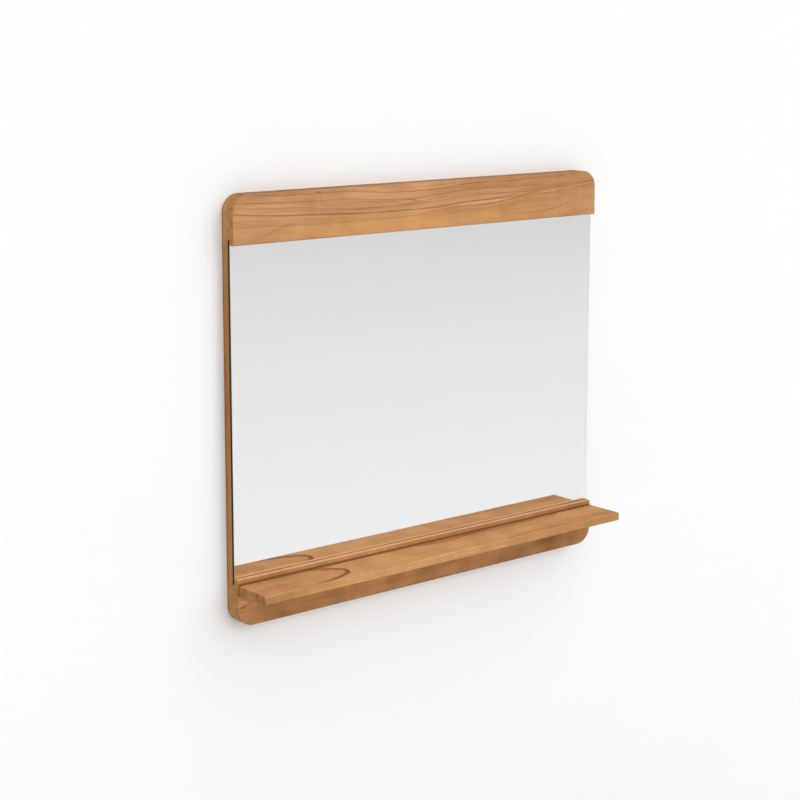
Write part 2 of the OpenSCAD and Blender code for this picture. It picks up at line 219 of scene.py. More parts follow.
class StudioSettings(bpy.types.PropertyGroup):
    """Room, light and camera."""

    wall: colour("Wall", "Colour of the wall", (0.86, 0.86, 0.86))
    floor: colour("Floor", "Colour of the floor", (0.800, 0.800, 0.800))
    floor_drop: length("Floor drop", "Height of the hangers above the floor", 1.55)
    key: amount("Key", "Soft light from above in front", 1.625, min=0.0)
    side: amount("Side", "Soft light from above on the right", 1.442, min=0.0)
    fill: amount("Fill", "Soft light from the front", 0.573, min=0.0)
    backdrop: amount("Backdrop", "Brightness of the open background", 0.95, min=0.0)
    back_light: amount(
        "Back light", "Power of the lamp behind the wall", 26.0, min=0.0, unit="POWER")
    lens: amount("Lens", "Focal length on a 36 mm sensor", 81.96, min=10.0, unit="CAMERA")
    camera_place: FloatVectorProperty(
        name="Camera place", description="Where the camera stands",
        default=(-1.9946, -2.3743, 0.2995), size=3, subtype="TRANSLATION")
    camera_yaw: amount(
        "Camera yaw", "Turn to the right of straight ahead", math.radians(39.502), subtype="ANGLE")
    camera_pitch: amount(
        "Camera pitch", "Tilt below the horizon", math.radians(9.07), subtype="ANGLE")
    camera_shift: amount("Camera shift", "Upward shift of the view, in picture widths", -0.10)


GROUPS = {
    "mirror_boards": BoardSizes, "mirror_fittings": FittingSizes, "mirror_wood": WoodFinish,
    "mirror_glass": MirrorFinish, "mirror_metal": FittingFinish, "mirror_studio": StudioSettings,
}


def settings(context, *names):
    """The groups of settings of those names."""
    return [getattr(context.scene, "mirror_" + name) for name in names]


# ---- modelling ----

def deselect_all():
    if bpy.context.mode != "OBJECT":
        bpy.ops.object.mode_set(mode="OBJECT")
    bpy.ops.object.select_all(action="DESELECT")


def make_active(piece):
    deselect_all()
    piece.select_set(True)
    bpy.context.view_layer.objects.active = piece


def applied(name):
    """Names the new primitive and puts its place into its mesh."""
    piece = bpy.context.object
    bpy.ops.object.transform_apply(location=True, rotation=True, scale=True)
    piece.name = piece.data.name = name
    return piece


def block(name, low, high):
    """Rectangular block between two corners."""
    deselect_all()
    low, high = Vector(low), Vector(high)
    bpy.ops.mesh.primitive_cube_add(size=1, location=(low + high) / 2, scale=high - low)
    return applied(name)


def round_bar(name, middle, radius, depth, front_radius=None, vertices=COARSE_ROUND):
    """Cylinder along Y, or a cone whose front end has another radius."""
    deselect_all()
    bpy.ops.mesh.primitive_cone_add(
        vertices=vertices, radius1=radius, radius2=radius if front_radius is None else front_radius,
        depth=depth, location=middle, rotation=(math.pi / 2, 0, 0))
    return applied(name)


def edit(piece):
    make_active(piece)
    bpy.ops.object.mode_set(mode="EDIT")


def pick(piece, kind, test):
    """Selects the edges or faces that pass the test, in edit mode."""
    bpy.ops.mesh.select_mode(type={"edges": "EDGE", "faces": "FACE"}[kind])
    bpy.ops.mesh.select_all(action="DESELECT")
    shape = bmesh.from_edit_mesh(piece.data)
    chosen = [part for part in getattr(shape, kind) if test(part)]
    if not chosen:
        raise RuntimeError(f"{piece.name}: no {kind} to select")
    for part in chosen:
        part.select_set(True)
    bmesh.update_edit_mesh(piece.data)


def near(a, b, by=TOLERANCE):
    return abs(a - b) < by


def all_ends(part, test):
    return all(test(vert.co) for vert in part.verts)


def lies_at(part, **place):
    """True for an edge or face that lies wholly at those coordinates, such as y=0."""
    return all_ends(part, lambda p: all(near(getattr(p, a), at) for a, at in place.items()))


def runs_along(edge, axis):
    first, last = (getattr(vert.co, axis) for vert in edge.verts)
    return not near(first, last)


def bevel(width, segments):
    """Rounds the selected edges."""
    bpy.ops.mesh.bevel(
        offset=width, offset_type="OFFSET", segments=segments, profile=0.5, affect="EDGES",
        clamp_overlap=False)


def ease(piece, width, segments, test):
    """Rounds the sharp edges that pass the test."""
    def sharp(edge):
        return len(edge.link_faces) == 2 and edge.calc_face_angle(0.0) > SHARP_ANGLE

    edit(piece)
    pick(piece, "edges", lambda edge: sharp(edge) and test(edge))
    bevel(width, segments)
    deselect_all()


def round_off(piece, radius):
    """Rounds the four edges along Y of a flat block, so that its ends are half round."""
    edit(piece)
    pick(piece, "edges", lambda edge: runs_along(edge, "y"))
    bevel(radius * END_SHARE, END_SEGMENTS)
    bpy.ops.mesh.select_all(action="SELECT")
    bpy.ops.mesh.remove_doubles(threshold=END_WELD)
    deselect_all()


def joined(pieces):
    deselect_all()
    for piece in pieces:
        piece.select_set(True)
    bpy.context.view_layer.objects.active = pieces[0]
    if len(pieces) > 1:
        bpy.ops.object.join()
    return pieces[0]


def cut(piece, *cutters):
    """Takes the cutters, which don't overlap, out of the piece."""
    cutter = joined(list(cutters))
    make_active(piece)
    taken = piece.modifiers.new("cut", "BOOLEAN")
    taken.operation, taken.solver, taken.object = "DIFFERENCE", "EXACT", cutter
    bpy.ops.object.modifier_apply(modifier=taken.name)
    bpy.data.objects.remove(cutter)


def copies(piece, name, places):
    """Moved copies of a piece, each with its own mesh, joined into one. The first is taken away."""
    made = []
    for place in places:
        make_active(piece)
        bpy.ops.object.duplicate(linked=False)
        bpy.ops.transform.translate(value=place)
        bpy.ops.object.transform_apply(location=True, rotation=True, scale=True)
        made.append(bpy.context.object)
    bpy.data.objects.remove(piece)
    whole = joined(made)
    whole.name = whole.data.name = name
    return whole


def dress(piece, *materials):
    """Gives a piece its materials, the first one all over."""
    piece.data.materials.clear()
    for material in materials:
        piece.data.materials.append(material)
    for face in piece.data.polygons:
        face.material_index = 0


def paint_faces(piece, index, test):
    """Puts the material of that slot on the faces that pass the test."""
    edit(piece)
    pick(piece, "faces", test)
    piece.active_material_index = index
    bpy.ops.object.material_slot_assign()
    deselect_all()


def finish_piece(piece, slot, *nodes, angle=38):
    """Shades a finished piece and fixes it to the frame in place of its solids."""
    make_active(piece)
    bpy.ops.object.shade_smooth_by_angle(angle=math.radians(angle), keep_sharp_edges=True)
    normals = piece.modifiers.new("normals", "WEIGHTED_NORMAL")
    normals.keep_sharp = True
    bpy.ops.object.modifier_apply(modifier=normals.name)
    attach(piece, "root")
    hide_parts(*nodes)
    deselect_all()


# ---- shader maths ----

class Value:
    """A shader socket on which Python's operators add Math nodes."""

    def __init__(self, finish, socket):
        self.finish, self.socket = finish, socket

    def __add__(self, other):
        return self.finish.math("ADD", self, other)

    __radd__ = __add__

    def __sub__(self, other):
        return self.finish.math("SUBTRACT", self, other)

    def __rsub__(self, other):
        return self.finish.math("SUBTRACT", other, self)

    def __mul__(self, other):
        return self.finish.math("MULTIPLY", self, other)

    __rmul__ = __mul__

    def __truediv__(self, other):
        return self.finish.math("DIVIDE", self, other)

    def __rtruediv__(self, other):
        return self.finish.math("DIVIDE", other, self)

    def __abs__(self):
        return self.finish.math("ABSOLUTE", self)


class Finish:
    """The nodes of a material or of the world, under construction."""

    def __init__(self, owner):
        owner.use_nodes = True
        owner.node_tree.nodes.clear()
        self.owner, self.tree = owner, owner.node_tree

    def node(self, kind, settings=None, inputs=None, output=0):
        """Adds a node, sets it up, fills its sockets, and gives back one output."""
        made = self.tree.nodes.new(kind)
        for key, value in (settings or {}).items():
            setattr(made, key, value)
        for key, value in (inputs or {}).items():
            if isinstance(value, Value):
                self.tree.links.new(value.socket, made.inputs[key])
            else:
                made.inputs[key].default_value = value
        return Value(self, made.outputs[output]) if made.outputs else None

    def coordinates(self, kind="Object"):
        return self.node("ShaderNodeTexCoord", output=kind)

    def math(self, operation, *values):
        return self.node("ShaderNodeMath", {"operation": operation}, dict(enumerate(values)))

    def vector(self, operation, *values, output=0):
        return self.node(
            "ShaderNodeVectorMath", {"operation": operation}, dict(enumerate(values)), output)

    def split(self, vector):
        made = self.node("ShaderNodeSeparateXYZ", inputs={0: vector}).socket.node
        return [Value(self, out) for out in made.outputs]

    def merge(self, x, y, z):
        return self.node("ShaderNodeCombineXYZ", inputs={0: x, 1: y, 2: z})

    def noise(self, vector, scale, offset, detail=2.0, roughness=0.5):
        """Noise from 0 to 1 on a vector that is stretched and moved first."""
        placed = self.vector("MULTIPLY_ADD", vector, scale, offset)
        return self.node(
            "ShaderNodeTexNoise", {"noise_dimensions": "3D"},
            {"Vector": placed, "Scale": 1.0, "Detail": detail, "Roughness": roughness}, "Fac")

    def step(self, value, low, high):
        """Smooth step of a value from 0 at low to 1 at high."""
        return self.node(
            "ShaderNodeMapRange", {"interpolation_type": "SMOOTHSTEP", "clamp": True},
            {"Value": value, "From Min": low, "From Max": high})

    def spread(self, value, low, high):
        """A value from 0 at low to 1 at high, which stays at 0 or 1 beyond them."""
        return self.node(
            "ShaderNodeMapRange", {"clamp": True},
            {"Value": value, "From Min": low, "From Max": high})

    def mix(self, factor, first, second):
        return self.node(
            "ShaderNodeMix", {"data_type": "RGBA", "clamp_factor": True},
            {0: factor, 6: rgba(first), 7: rgba(second)}, 2)

    def curve(self, value, points):
        """A smooth curve through points, whose ends stay level."""
        height = self.node("ShaderNodeFloatCurve", inputs={"Value": value})
        mapping = height.socket.node.mapping
        mapping.use_clip = False
        line = mapping.curves[0]
        line.points[0].location, line.points[1].location = points[0], points[-1]
        for point in points[1:-1]:
            line.points.new(*point)
        mapping.update()
        return height

    def bump(self, height, distance, strength):
        return self.node(
            "ShaderNodeBump", inputs={"Height": height, "Distance": distance, "Strength": strength})

    def end(self, shader, kind="Material"):
        self.node("ShaderNodeOutput" + kind, inputs={"Surface": shader})
        return self.owner

    def surface(self, **sockets):
        """Ends a material with a Principled shader. Underscores in names stand for spaces."""
        named = {key.replace("_", " "): value for key, value in sockets.items()}
        return self.end(self.node("ShaderNodeBsdfPrincipled", inputs=named))


def rgba(value):
    return value if isinstance(value, Value) else (*value, 1.0)


def new_finish(name):
    return Finish(bpy.data.materials.new(name))


def shade(tint, *by):
    """A lighter or darker tint, by one factor or by one for each channel."""
    return tuple(min(part * factor, 1.0) for part, factor in zip(tint, by * 3))


# ---- figure of each board ----

def level(height):
    return (0, height), (1, height)


@dataclass(frozen=True)
class Figure:
    """How the grain of one board looks, in mm from its left end and its upper or rear edge.

    A curve is a row of (place, height), its place from 0 to 1. A patch is (middle, half its
    size, strength, colour). A line is its width and its points (along, across, strength), and
    an arch is one that runs across the board, with its points (across, along, strength).
    """

    heart: tuple                      # middle of the growth rings, and the width of one
    rings: float                      # strength of the rings
    sway: float                       # how far the grain wanders off its course
    contrast: float                   # strength of the streaks
    mottle: float
    rubbed: float                     # strength of the painted highlight on the upper arrises
    edge: tuple = (0, "dark")         # strength and colour over the narrow edges
    tint: tuple = (1, 1, 1)
    end_tint: tuple = (1, 1, 1)
    flow: tuple = ((0, 0.5), (800, 0.5))   # height of the grain's course along the board
    hold: tuple = level(0.6)          # how closely the grain follows it, down the face
    busy: tuple = level(1)            # strength of the streaks and flecks, down the face
    along: tuple = level(1)           # tone along the board
    across: tuple = level(1)          # tone down the face
    edge_along: tuple = level(1)      # tone of the narrow edges along the board
    washes: tuple = ()                # patches over the fine grain
    patches: tuple = ()               # patches under it
    seams: tuple = ()                 # (axis, place, width, strength, way it faces, colour)
    lines: tuple = ()
    pale: tuple = ()
    arches: tuple = ()
    end_bands: tuple = ()             # (middle, half its width, strength, lean)
    end_patches: tuple = ()           # patches on the sawn ends, deep and across


HEADER_FIGURE = Figure(
    heart=(72, 26, 5.2), rings=0.34, sway=10, contrast=0.8, mottle=0.45, rubbed=0.05,
    edge=(0.3, "dark"), tint=(1.07, 1.19, 1.43), end_tint=(1.2, 1.32, 1.42),
    flow=(
        (0, -9), (50, -7), (100, -3.5), (150, -1), (200, 2), (250, 3), (290, 5), (390, 4.8),
        (440, 2.2), (490, 0), (530, -1), (572, -3.5), (630, -8), (690, -8), (730, -13), (800, -21)),
    hold=((0, 0.15), (0.2, 0.4), (0.5, 1), (0.7, 0.8), (1, 0.4)),
    busy=((0, 1.1), (0.35, 1), (0.55, 0.6), (0.65, 0.3), (1, 0.35)),
    along=((0, 0.98), (0.3, 1), (0.5, 1.03), (0.75, 1), (1, 0.98)),
    edge_along=level(0.66),
    washes=(
        ((270, 70), (200, 20), 0.6, "warm"),
        ((600, 66), (130, 16), 0.45, "warm"),
        ((470, 14), (150, 22), 0.25, "dark"),
        ((300, 14), (130, 16), 0.2, "pale"),
    ),
    patches=(
        ((420, 64), (190, 20), 0.35, "warm"),
        ((765, 58), (60, 22), 0.35, "light"),
        ((640, 12), (130, 16), 0.3, "middle"),
        ((362, 34), (24, 5), 0.5, "dark"),
        ((168, 4.8), (7, 1.8), 0.8, "line"),
        ((268, 38), (50, 4), 0.3, "dark"),
        ((240, 57), (34, 4), 0.3, "dark"),
        ((662, 66), (42, 6), 0.22, "dark"),
        ((60, 45), (110, 50), 0.28, "pale"),
        ((188, 24), (42, 18), 0.5, "light"),
        ((188, 22), (36, 14), 0.25, "pale"),
    ),
    seams=(("Z", -34.4, 1.2, 0.35, "Y", "line"),),
    lines=(
        (1.7, (
            (0, 30.5, 0.5), (188, 41.5, 0.65), (362, 45, 0.65), (412, 44, 0.65), (462, 40.5, 0.45),
            (612, 34.5, 0.3), (640, 33, 0))),
        (1.5, (
            (505, 48, 0), (515, 47.5, 0.25), (538, 46, 0.35), (588, 40, 0.3), (662, 29, 0.25),
            (712, 25, 0.2), (735, 24.5, 0))),
        (1.6, (
            (660, 34.5, 0), (688, 33.6, 0.25), (712, 30.9, 0.5), (738, 28.5, 0.2), (762, 26.5, 0.3),
            (790, 24, 0))),
        (1.5, ((730, 22.5, 0), (762, 20.5, 0.2), (788, 17.8, 0.4), (800, 16, 0.3))),
        (1.2, (
            (0, 2.5, 0.3), (38, 2.5, 0.3), (88, 5.5, 0.35), (212, 6.5, 0.4), (362, 14, 0.45),
            (512, 7, 0.35), (540, 6.5, 0))),
        (1.3, (
            (0, 13.5, 0.3), (62, 16.5, 0.35), (238, 20, 0.3), (338, 25.5, 0.25), (362, 25.5, 0.35),
            (512, 17.5, 0.35), (612, 18, 0.3), (662, 17, 0))),
        (1.4, (
            (0, 22, 0.3), (138, 28, 0.3), (238, 36, 0.3), (262, 36.5, 0.35), (462, 31.5, 0.25),
            (512, 28, 0.35), (638, 29, 0.3), (662, 29, 0))),
        (1.6, ((0, 43.5, 0.25), (288, 56.5, 0.2), (438, 50, 0.2), (490, 48, 0))),
        (1.2, ((205, 23.5, 0), (235, 25, 0.15), (262, 25.8, 0.18), (288, 28.5, 0.2), (310, 29, 0))),
        (1.1, ((570, 8, 0), (588, 8, 0.35), (662, 6.5, 0.25), (762, 1.5, 0.3))),
        (3, (
            (580, 67.5, 0), (612, 66.5, 0.16), (638, 67, 0.2), (662, 66.5, 0.22), (688, 64.3, 0.24),
            (712, 59.8, 0.22), (740, 54, 0))),
        (2.6, ((30, 77, 0), (55, 70, 0.12), (82, 60, 0.18), (110, 54, 0.12), (135, 48, 0))),
        (1.6, ((340, 28, 0), (350, 27, 0.3), (372, 30, 0.35), (388, 33, 0.3), (400, 36, 0))),
    ),
    pale=(
        (2, (
            (470, 43.5, 0), (488, 42.5, 0.45), (562, 40, 0.45), (588, 38, 0.2), (612, 32, 0.25),
            (638, 31, 0.1), (662, 32, 0.25), (788, 21.5, 0.2), (800, 20, 0))),
        (1.3, (
            (245, 4, 0), (262, 4.5, 0.3), (312, 8, 0.2), (388, 10, 0.4), (488, 5, 0.25),
            (510, 4, 0))),
        (1.3, (
            (10, 20, 0), (38, 21, 0.2), (112, 23.5, 0.2), (212, 30, 0.15), (262, 29.5, 0.1),
            (288, 31, 0.15), (388, 29, 0.25), (412, 26, 0.1), (488, 24, 0.2), (538, 21, 0.35),
            (588, 22.5, 0.25), (612, 21.5, 0.2), (640, 21, 0))),
        (1.3, (
            (100, 41, 0), (138, 42, 0.3), (212, 45.5, 0.25), (362, 48, 0.3), (412, 47, 0.3),
            (462, 43.5, 0.3), (480, 42, 0))),
    ),
    end_patches=(
        ((12.5, 57), (5, 4.5), 0.3, "line"),
        ((4, 46), (4.5, 7), 0.26, "line"),
        ((5, 23), (12, 4), 0.28, "line"),
        ((11, 33), (6, 4), 0.15, "line"),
        ((6, 70), (7, 8), 0.14, "line"),
        ((24, 45), (5, 60), 0.3, "pale"),
    ),
)

LOWER_FIGURE = Figure(
    heart=(30, 30, 7), rings=0.22, sway=22, contrast=0.5, mottle=1, rubbed=0.45, edge=(0.1, "pale"),
    tint=(0.99, 1.085, 1.27), end_tint=(1.16, 1.28, 1.38),
    flow=((0, 2), (200, 0), (400, -2), (600, -1), (800, 3)),
    busy=level(0.5),
    along=((0, 1.03), (0.3, 1.06), (0.6, 1.05), (0.8, 0.96), (1, 0.9)),
    # painted light: lighter just below the shelf, where the shelf shades the face, and darker
    # towards its foot
    across=((0, 0.95), (0.28, 1.22), (0.5, 1.26), (0.72, 1), (1, 0.88)),
    washes=(((560, 45), (60, 26), 0.25, "warm"), ((330, 50), (70, 24), 0.22, "warm")),
    patches=(
        ((695, 44), (48, 40), 0.6, "dark"),
        ((590, 60), (40, 40), 0.2, "dark"),
        ((382, 46), (20, 40), 0.15, "dark"),
        ((775, 50), (32, 40), 0.4, "warm"),
        ((480, 50), (34, 40), 0.3, "warm"),
        ((150, 50), (60, 40), 0.1, "dark"),
        ((232, 50), (30, 40), 0.25, "warm"),
        ((22, 34), (30, 12), 0.45, "dark"),
        ((60, 60), (40, 16), 0.25, "warm"),
    ),
    seams=(
        # painted shade: dark line on the lip's top where it meets the glass
        ("Y", -21.4, 1.8, 0.6, "Z", "line"),
        # painted highlight along the lip's top
        ("Y", -27.2, 3, 0.7, "Z", "rubbed"),
        # painted shade: dark line on the lip's front where it meets the shelf
        ("Z", -583, 2.6, 0.8, "Y", "line"),
    ),
    lines=(
        (1.2, (
            (280, 78, 0), (300, 77.5, 0.5), (360, 77.8, 0.55), (430, 77.2, 0.5), (480, 77.5, 0.4),
            (500, 77, 0))),
        (1.2, ((560, 77, 0), (600, 77.5, 0.4), (680, 77, 0.4), (720, 78, 0))),
        (1.4, ((560, 44, 0), (620, 46, 0.2), (700, 50, 0.25), (760, 51, 0))),
        (1.2, ((100, 64, 0), (150, 62, 0.2), (200, 63, 0.2), (260, 66, 0))),
        (3, ((1, 47.5, 0.5), (8, 47, 0.65), (15, 45.8, 0.4), (24, 44.5, 0.1), (32, 44, 0))),
        (2.4, ((1, 25, 0.9), (6, 26, 0.7), (11, 28, 0.2), (16, 30, 0))),
        (1.8, ((1, 53, 0.5), (6, 55, 0.6), (11, 52.5, 0.5), (15, 48, 0))),
    ),
    pale=((4, ((3, 38, 0), (8, 38, 0.5), (14, 39, 0.4), (22, 41, 0))),),
    end_patches=(
        ((10, 50), (14, 40), 0.14, "line"),
        ((11, 18), (7, 1.8), 0.5, "line"),
        ((3, 60), (8, 18), 0.26, "line"),
        ((3, 24), (4, 7), 0.25, "line"),
        ((2, 58), (4, 10), 0.3, "line"),
        ((25, 40), (4.5, 60), 0.3, "pale"),
        ((20, 57), (4, 6), 0.25, "pale"),
    ),
)

SHELF_FIGURE = Figure(
    heart=(36, 22, 9), rings=0.14, sway=26, contrast=0.5, mottle=0.8, rubbed=0.35,
    edge=(0.16, "pale"), tint=(1.24, 1.36, 1.51), end_tint=(1.06, 1.14, 1.16),
    flow=((0, 2), (190, 0), (400, -2), (600, 1), (800, -2)),
    busy=level(0.5),
    along=((0, 0.84), (0.1, 0.87), (0.24, 1), (0.38, 0.93), (0.8, 0.95), (1, 0.88)),
    across=((0, 1.02), (0.6, 1.01), (0.8, 0.97), (1, 0.95)),
    edge_along=((0, 0.84), (0.15, 0.97), (0.33, 1.06), (0.52, 0.92), (0.75, 0.98), (1, 0.88)),
    washes=(((150, 44), (60, 26), 0.3, "middle"), ((560, 40), (90, 26), 0.3, "light")),
    patches=(
        ((350, 44), (90, 44), 0.35, "warm"),
        ((202, 20), (30, 22), 0.4, "light"),
        ((400, 11), (4, 2.5), 0.6, "line"),
        ((90, 30), (90, 40), 0.35, "middle"),
        ((160, 42), (34, 20), 0.3, "dark"),
        ((415, 78), (110, 12), 0.45, "pale"),
        ((300, 40), (90, 40), 0.3, "light"),
        ((560, 35), (110, 30), 0.3, "light"),
        ((770, 45), (40, 30), 0.3, "middle"),
    ),
    # painted shade on the shelf's top along its joint with the lip
    seams=(("Y", -32.5, 4.4, 0.85, "Z", "line"),),
    lines=(
        (4.2, (
            (330, 3, 0), (360, 6, 0.3), (400, 7, 0.4), (640, 6, 0.25), (720, 5, 0.15),
            (765, 3, 0))),
        (4.4, (
            (365, 9, 0), (400, 12.5, 0.65), (438, 14.5, 0.55), (462, 11, 0.7), (488, 9.5, 0.6),
            (588, 13, 0.55), (638, 10.5, 0.65), (662, 12.5, 0.45), (688, 11, 0.6), (710, 8, 0))),
        (2, (
            (518, 74, 0), (538, 72, 0.65), (562, 66.5, 0.55), (588, 65.5, 0.4), (612, 66, 0.3),
            (638, 69, 0.4), (688, 72.5, 0.4), (715, 73.5, 0))),
        (2.4, (
            (718, 54, 0), (738, 56.2, 0.42), (762, 59.5, 0.6), (785, 61.5, 0.45), (800, 63, 0.3))),
        (1.6, ((98, 74, 0), (110, 73, 0.35), (125, 71, 0.4), (145, 68.5, 0.3), (165, 64, 0))),
        (1.6, ((235, 73.8, 0), (262, 73.6, 0.25), (290, 73.4, 0.22), (315, 73, 0))),
        (1.5, ((26, 10, 0), (34, 14, 0.25), (46, 24, 0.35), (50, 34, 0.3), (46, 44, 0))),
        (5, ((735, 28, 0), (760, 31, 0.25), (785, 36, 0.25), (800, 38, 0.2))),
    ),
    arches=(
        (7, (
            (-4, 128, 0.6), (7, 151, 0.6), (18, 170, 0.7), (28, 182, 0.9), (36, 187.5, 1),
            (44, 187.5, 1), (51, 183, 1), (58, 172, 0.85), (64, 155, 0.75), (69, 136, 0.6),
            (75.5, 96, 0))),
        (3, ((57, 176, 0), (64, 163, 0.45), (69.5, 147, 0.55), (74, 128, 0))),
        (14, (
            (2, 142, 0), (12, 158, 0.2), (24, 172, 0.25), (36, 181, 0.25), (44, 178, 0.2),
            (56, 160, 0))),
    ),
    end_bands=((20, 4.5, 0.3, 0.1), (54, 4.5, 0.38, 0.15), (70.5, 3, 0.4, 0), (1, 4, 0.5, 0)),
)

UPRIGHT_FIGURE = Figure(
    heart=(-30, 18, 5.5), rings=0.3, sway=6, contrast=1, mottle=0.3, rubbed=0.3,
    tint=(0.97, 1.02, 1),
)


# ---- wood ----

IN_MM = 1000.0
BOARD_LENGTH, BOARD_HEIGHT = 800.0, 80.0   # in mm, the reach of a figure's curves
LOOK_AHEAD = 0.012                         # share of a path over which its slope is measured
STRENGTHS = {                              # of the features that every board has
    "flame": 0.38, "dark streak": 0.62, "pale streak": 0.60, "fibre": 0.8, "pore": 0.22,
    # painted shade: the contact shadow by the wall and the shade under the downward arrises
    "fleck": 0.30, "contact shadow": 0.68, "painted shade under arris": 0.5,
}


class Wood:
    """Oiled wood of one board. order names the axes along, across and into its face."""

    def __init__(self, name, colours, order, corner, seed, figure):
        self.finish = finish = new_finish(name)
        self.colours, self.seed, self.figure = colours, seed, figure
        self.place = dict(zip("XYZ", finish.split(finish.coordinates())))
        self.facing = dict(zip("XYZ", finish.split(finish.coordinates("Normal"))))
        self.along = (self.place[order[0]] - corner[0]) * IN_MM
        self.across = (corner[1] - self.place[order[1]]) * IN_MM
        self.deep = (self.place[order[2]] - corner[2]) * IN_MM
        self.plain = finish.merge(self.along, self.across, self.deep)
        self.end_mask = finish.step(abs(self.facing[order[0]]), 0.55, 0.95)
        self.edge_mask = finish.step(abs(self.facing[order[1]]), 0.9, 0.99)
        self.on_face = 1.0 - self.end_mask * 0.9
        self.bend_grain()
        self.soft = self.noise(self.grain, 0.035, 0.30, (seed, 6, 9))
        self.wide_soft = self.noise(self.plain, 0.02, 0.06, (seed, 8, 3), 3.0)
        self.tone = None

    def noise(self, vector, along, across, offset, detail=2.0, roughness=0.5):
        """Noise with so many waves per mm along and across the grain."""
        return self.finish.noise(vector, (along, across, across), offset, detail, roughness)

    def down_the_board(self, points):
        return self.finish.curve(self.finish.spread(self.across, 0.0, BOARD_HEIGHT), points)

    def down_the_length(self, points):
        return self.finish.curve(self.finish.spread(self.along, 0.0, BOARD_LENGTH), points)

    def lay(self, mask, key):
        """Lays one of the wood's colours over its tone."""
        over = getattr(self.colours, key)
        self.tone = self.finish.mix(mask, self.tone, over)

    def times(self, factors):
        self.tone = self.finish.vector("MULTIPLY", self.tone, factors)

    def path(self, share_along, points):
        """Height in mm of a smooth line through points, and its slope."""
        start, end = points[0][0], points[-1][0]
        low, high = min(p[1] for p in points), max(p[1] for p in points)
        reach = max(high - low, 1.0)
        shape = [((p[0] - start) / (end - start), (p[1] - low) / reach) for p in points]
        here = self.finish.curve(share_along, shape) * reach + low
        ahead = self.finish.curve(share_along + LOOK_AHEAD, shape) * reach + low
        return here, (ahead - here) / (LOOK_AHEAD * (end - start))

    def line(self, along, across, width, points):
        """Mask of one line of the grain. points are (along, across, strength)."""
        start, end = points[0][0], points[-1][0]
        share_along = self.finish.spread(along, start, end)
        here, slope = self.path(share_along, points)
        away = abs(across - here + (self.soft - 0.5) * width)
        away = away / self.finish.math("SQRT", slope * slope + 1.0)
        fade = self.finish.curve(
            share_along, [((p[0] - start) / (end - start), p[2]) for p in points])
        return self.finish.step(away, width, width * 0.2) * fade * (self.soft * 1.2 + 0.4)

    def patch(self, along, across, middle, half, strength):
        """Mask of an oval patch of another tone."""
        x = (along - middle[0]) / half[0]
        y = (across - middle[1]) / half[1]
        away = self.finish.math("SQRT", x * x + y * y) + (self.wide_soft - 0.5) * 0.9
        return self.finish.step(away, 1.15, 0.35) * strength

    def bend_grain(self):
        """The fine grain bends with the board's main line, and wanders off it."""
        figure, seed = self.figure, self.seed
        flow = figure.flow
        bend, _ = self.path(self.finish.spread(self.along, flow[0][0], flow[-1][0]), flow)
        hold = self.down_the_board(figure.hold)
        sway = self.noise(self.plain, 0.0021, 0.009, (seed, seed * 2, 3)) - 0.5
        ripple = self.noise(self.plain, 0.009, 0.05, (seed * 3, 1, seed), 1.5) - 0.5
        self.level = self.across - bend * hold + sway * figure.sway + ripple * 2.2
        self.depth = self.deep + sway * (figure.sway * 0.5)
        self.grain = self.finish.merge(self.along, self.level, self.depth)

    def grow(self):
        """Growth rings, streaks, fibres, pores and flecks, and the patches under them."""
        finish, figure, seed, grain = self.finish, self.figure, self.seed, self.grain
        beside, behind, pitch = figure.heart
        ring_y, ring_z = self.level - beside, self.depth - behind
        distance = finish.math("SQRT", ring_y * ring_y + ring_z * ring_z + 1.0)
        wander = self.noise(grain, 0.0012, 0.06, (9, seed, 2), 1.0) * 0.9
        phase = finish.math("FRACT", distance / pitch + wander)
        self.late = finish.step(phase, 0.30, 0.92) * finish.step(phase, 1.0, 0.95)
        late_here = finish.step(self.noise(grain, 0.0055, 0.03, (seed, 5, 7)), 0.36, 0.66)

        broad = self.noise(grain, 0.0035, 0.022, (seed, 11, 4), 3.0)
        flame = self.noise(grain, 0.006, 0.045, (4, seed, 8), 2.5)
        self.streaks = self.noise(grain, 0.0065, 0.21, (seed, 2, 6), 3.5, 0.62)
        self.fibres = self.noise(grain, 0.018, 0.75, (3, 7, seed), 2.5, 0.6)
        flecks = finish.step(self.noise(grain, 0.050, 0.62, (seed, 4, 2), 1.0), 0.60, 0.72)
        self.pores = finish.step(self.noise(grain, 0.075, 1.6, (seed, 1, 1), 1.0), 0.60, 0.73)
        busy = self.down_the_board(figure.busy)
        dark, pale = (STRENGTHS[key] * figure.contrast for key in ("dark streak", "pale streak"))

        light, middle = self.colours.light, self.colours.middle
        self.tone = finish.mix(finish.step(broad, 0.34, 0.66), light, middle)
        self.lay_patches(figure.patches)
        self.lay(finish.step(flame, 0.50, 0.74) * STRENGTHS["flame"], "dark")
        self.lay(finish.step(self.streaks, 0.50, 0.76) * dark * busy, "dark")
        self.lay(finish.step(self.streaks, 0.47, 0.24) * pale * busy, "pale")
        self.lay(self.late * late_here * figure.rings, "dark")
        self.lay((self.fibres - 0.5) * STRENGTHS["fibre"] + 0.12, "dark")
        self.lay_patches(figure.washes)
        self.lay(self.pores * STRENGTHS["pore"], "line")
        self.lay(flecks * busy * STRENGTHS["fleck"], "dark")
        self.lay_lines(self.along, self.across, figure.pale, "pale")

    def lay_patches(self, rows):
        for middle, half, strength, key in rows:
            self.lay(self.patch(self.along, self.across, middle, half, strength), key)

    def lay_lines(self, along, across, rows, key):
        for width, points in rows:
            self.lay(self.line(along, across, width, points) * self.on_face, key)

    def saw(self):
        """Sawn ends are darker, and show the rings and the open pores as dots."""
        finish, colours = self.finish, self.colours
        dots = self.late * 0.5 + finish.step(self.streaks, 0.45, 0.75) * 0.4
        end_tone = finish.mix(dots, colours.end, colours.dark)
        self.tone = finish.mix(self.end_mask * colours.end_strength, self.tone, end_tone)

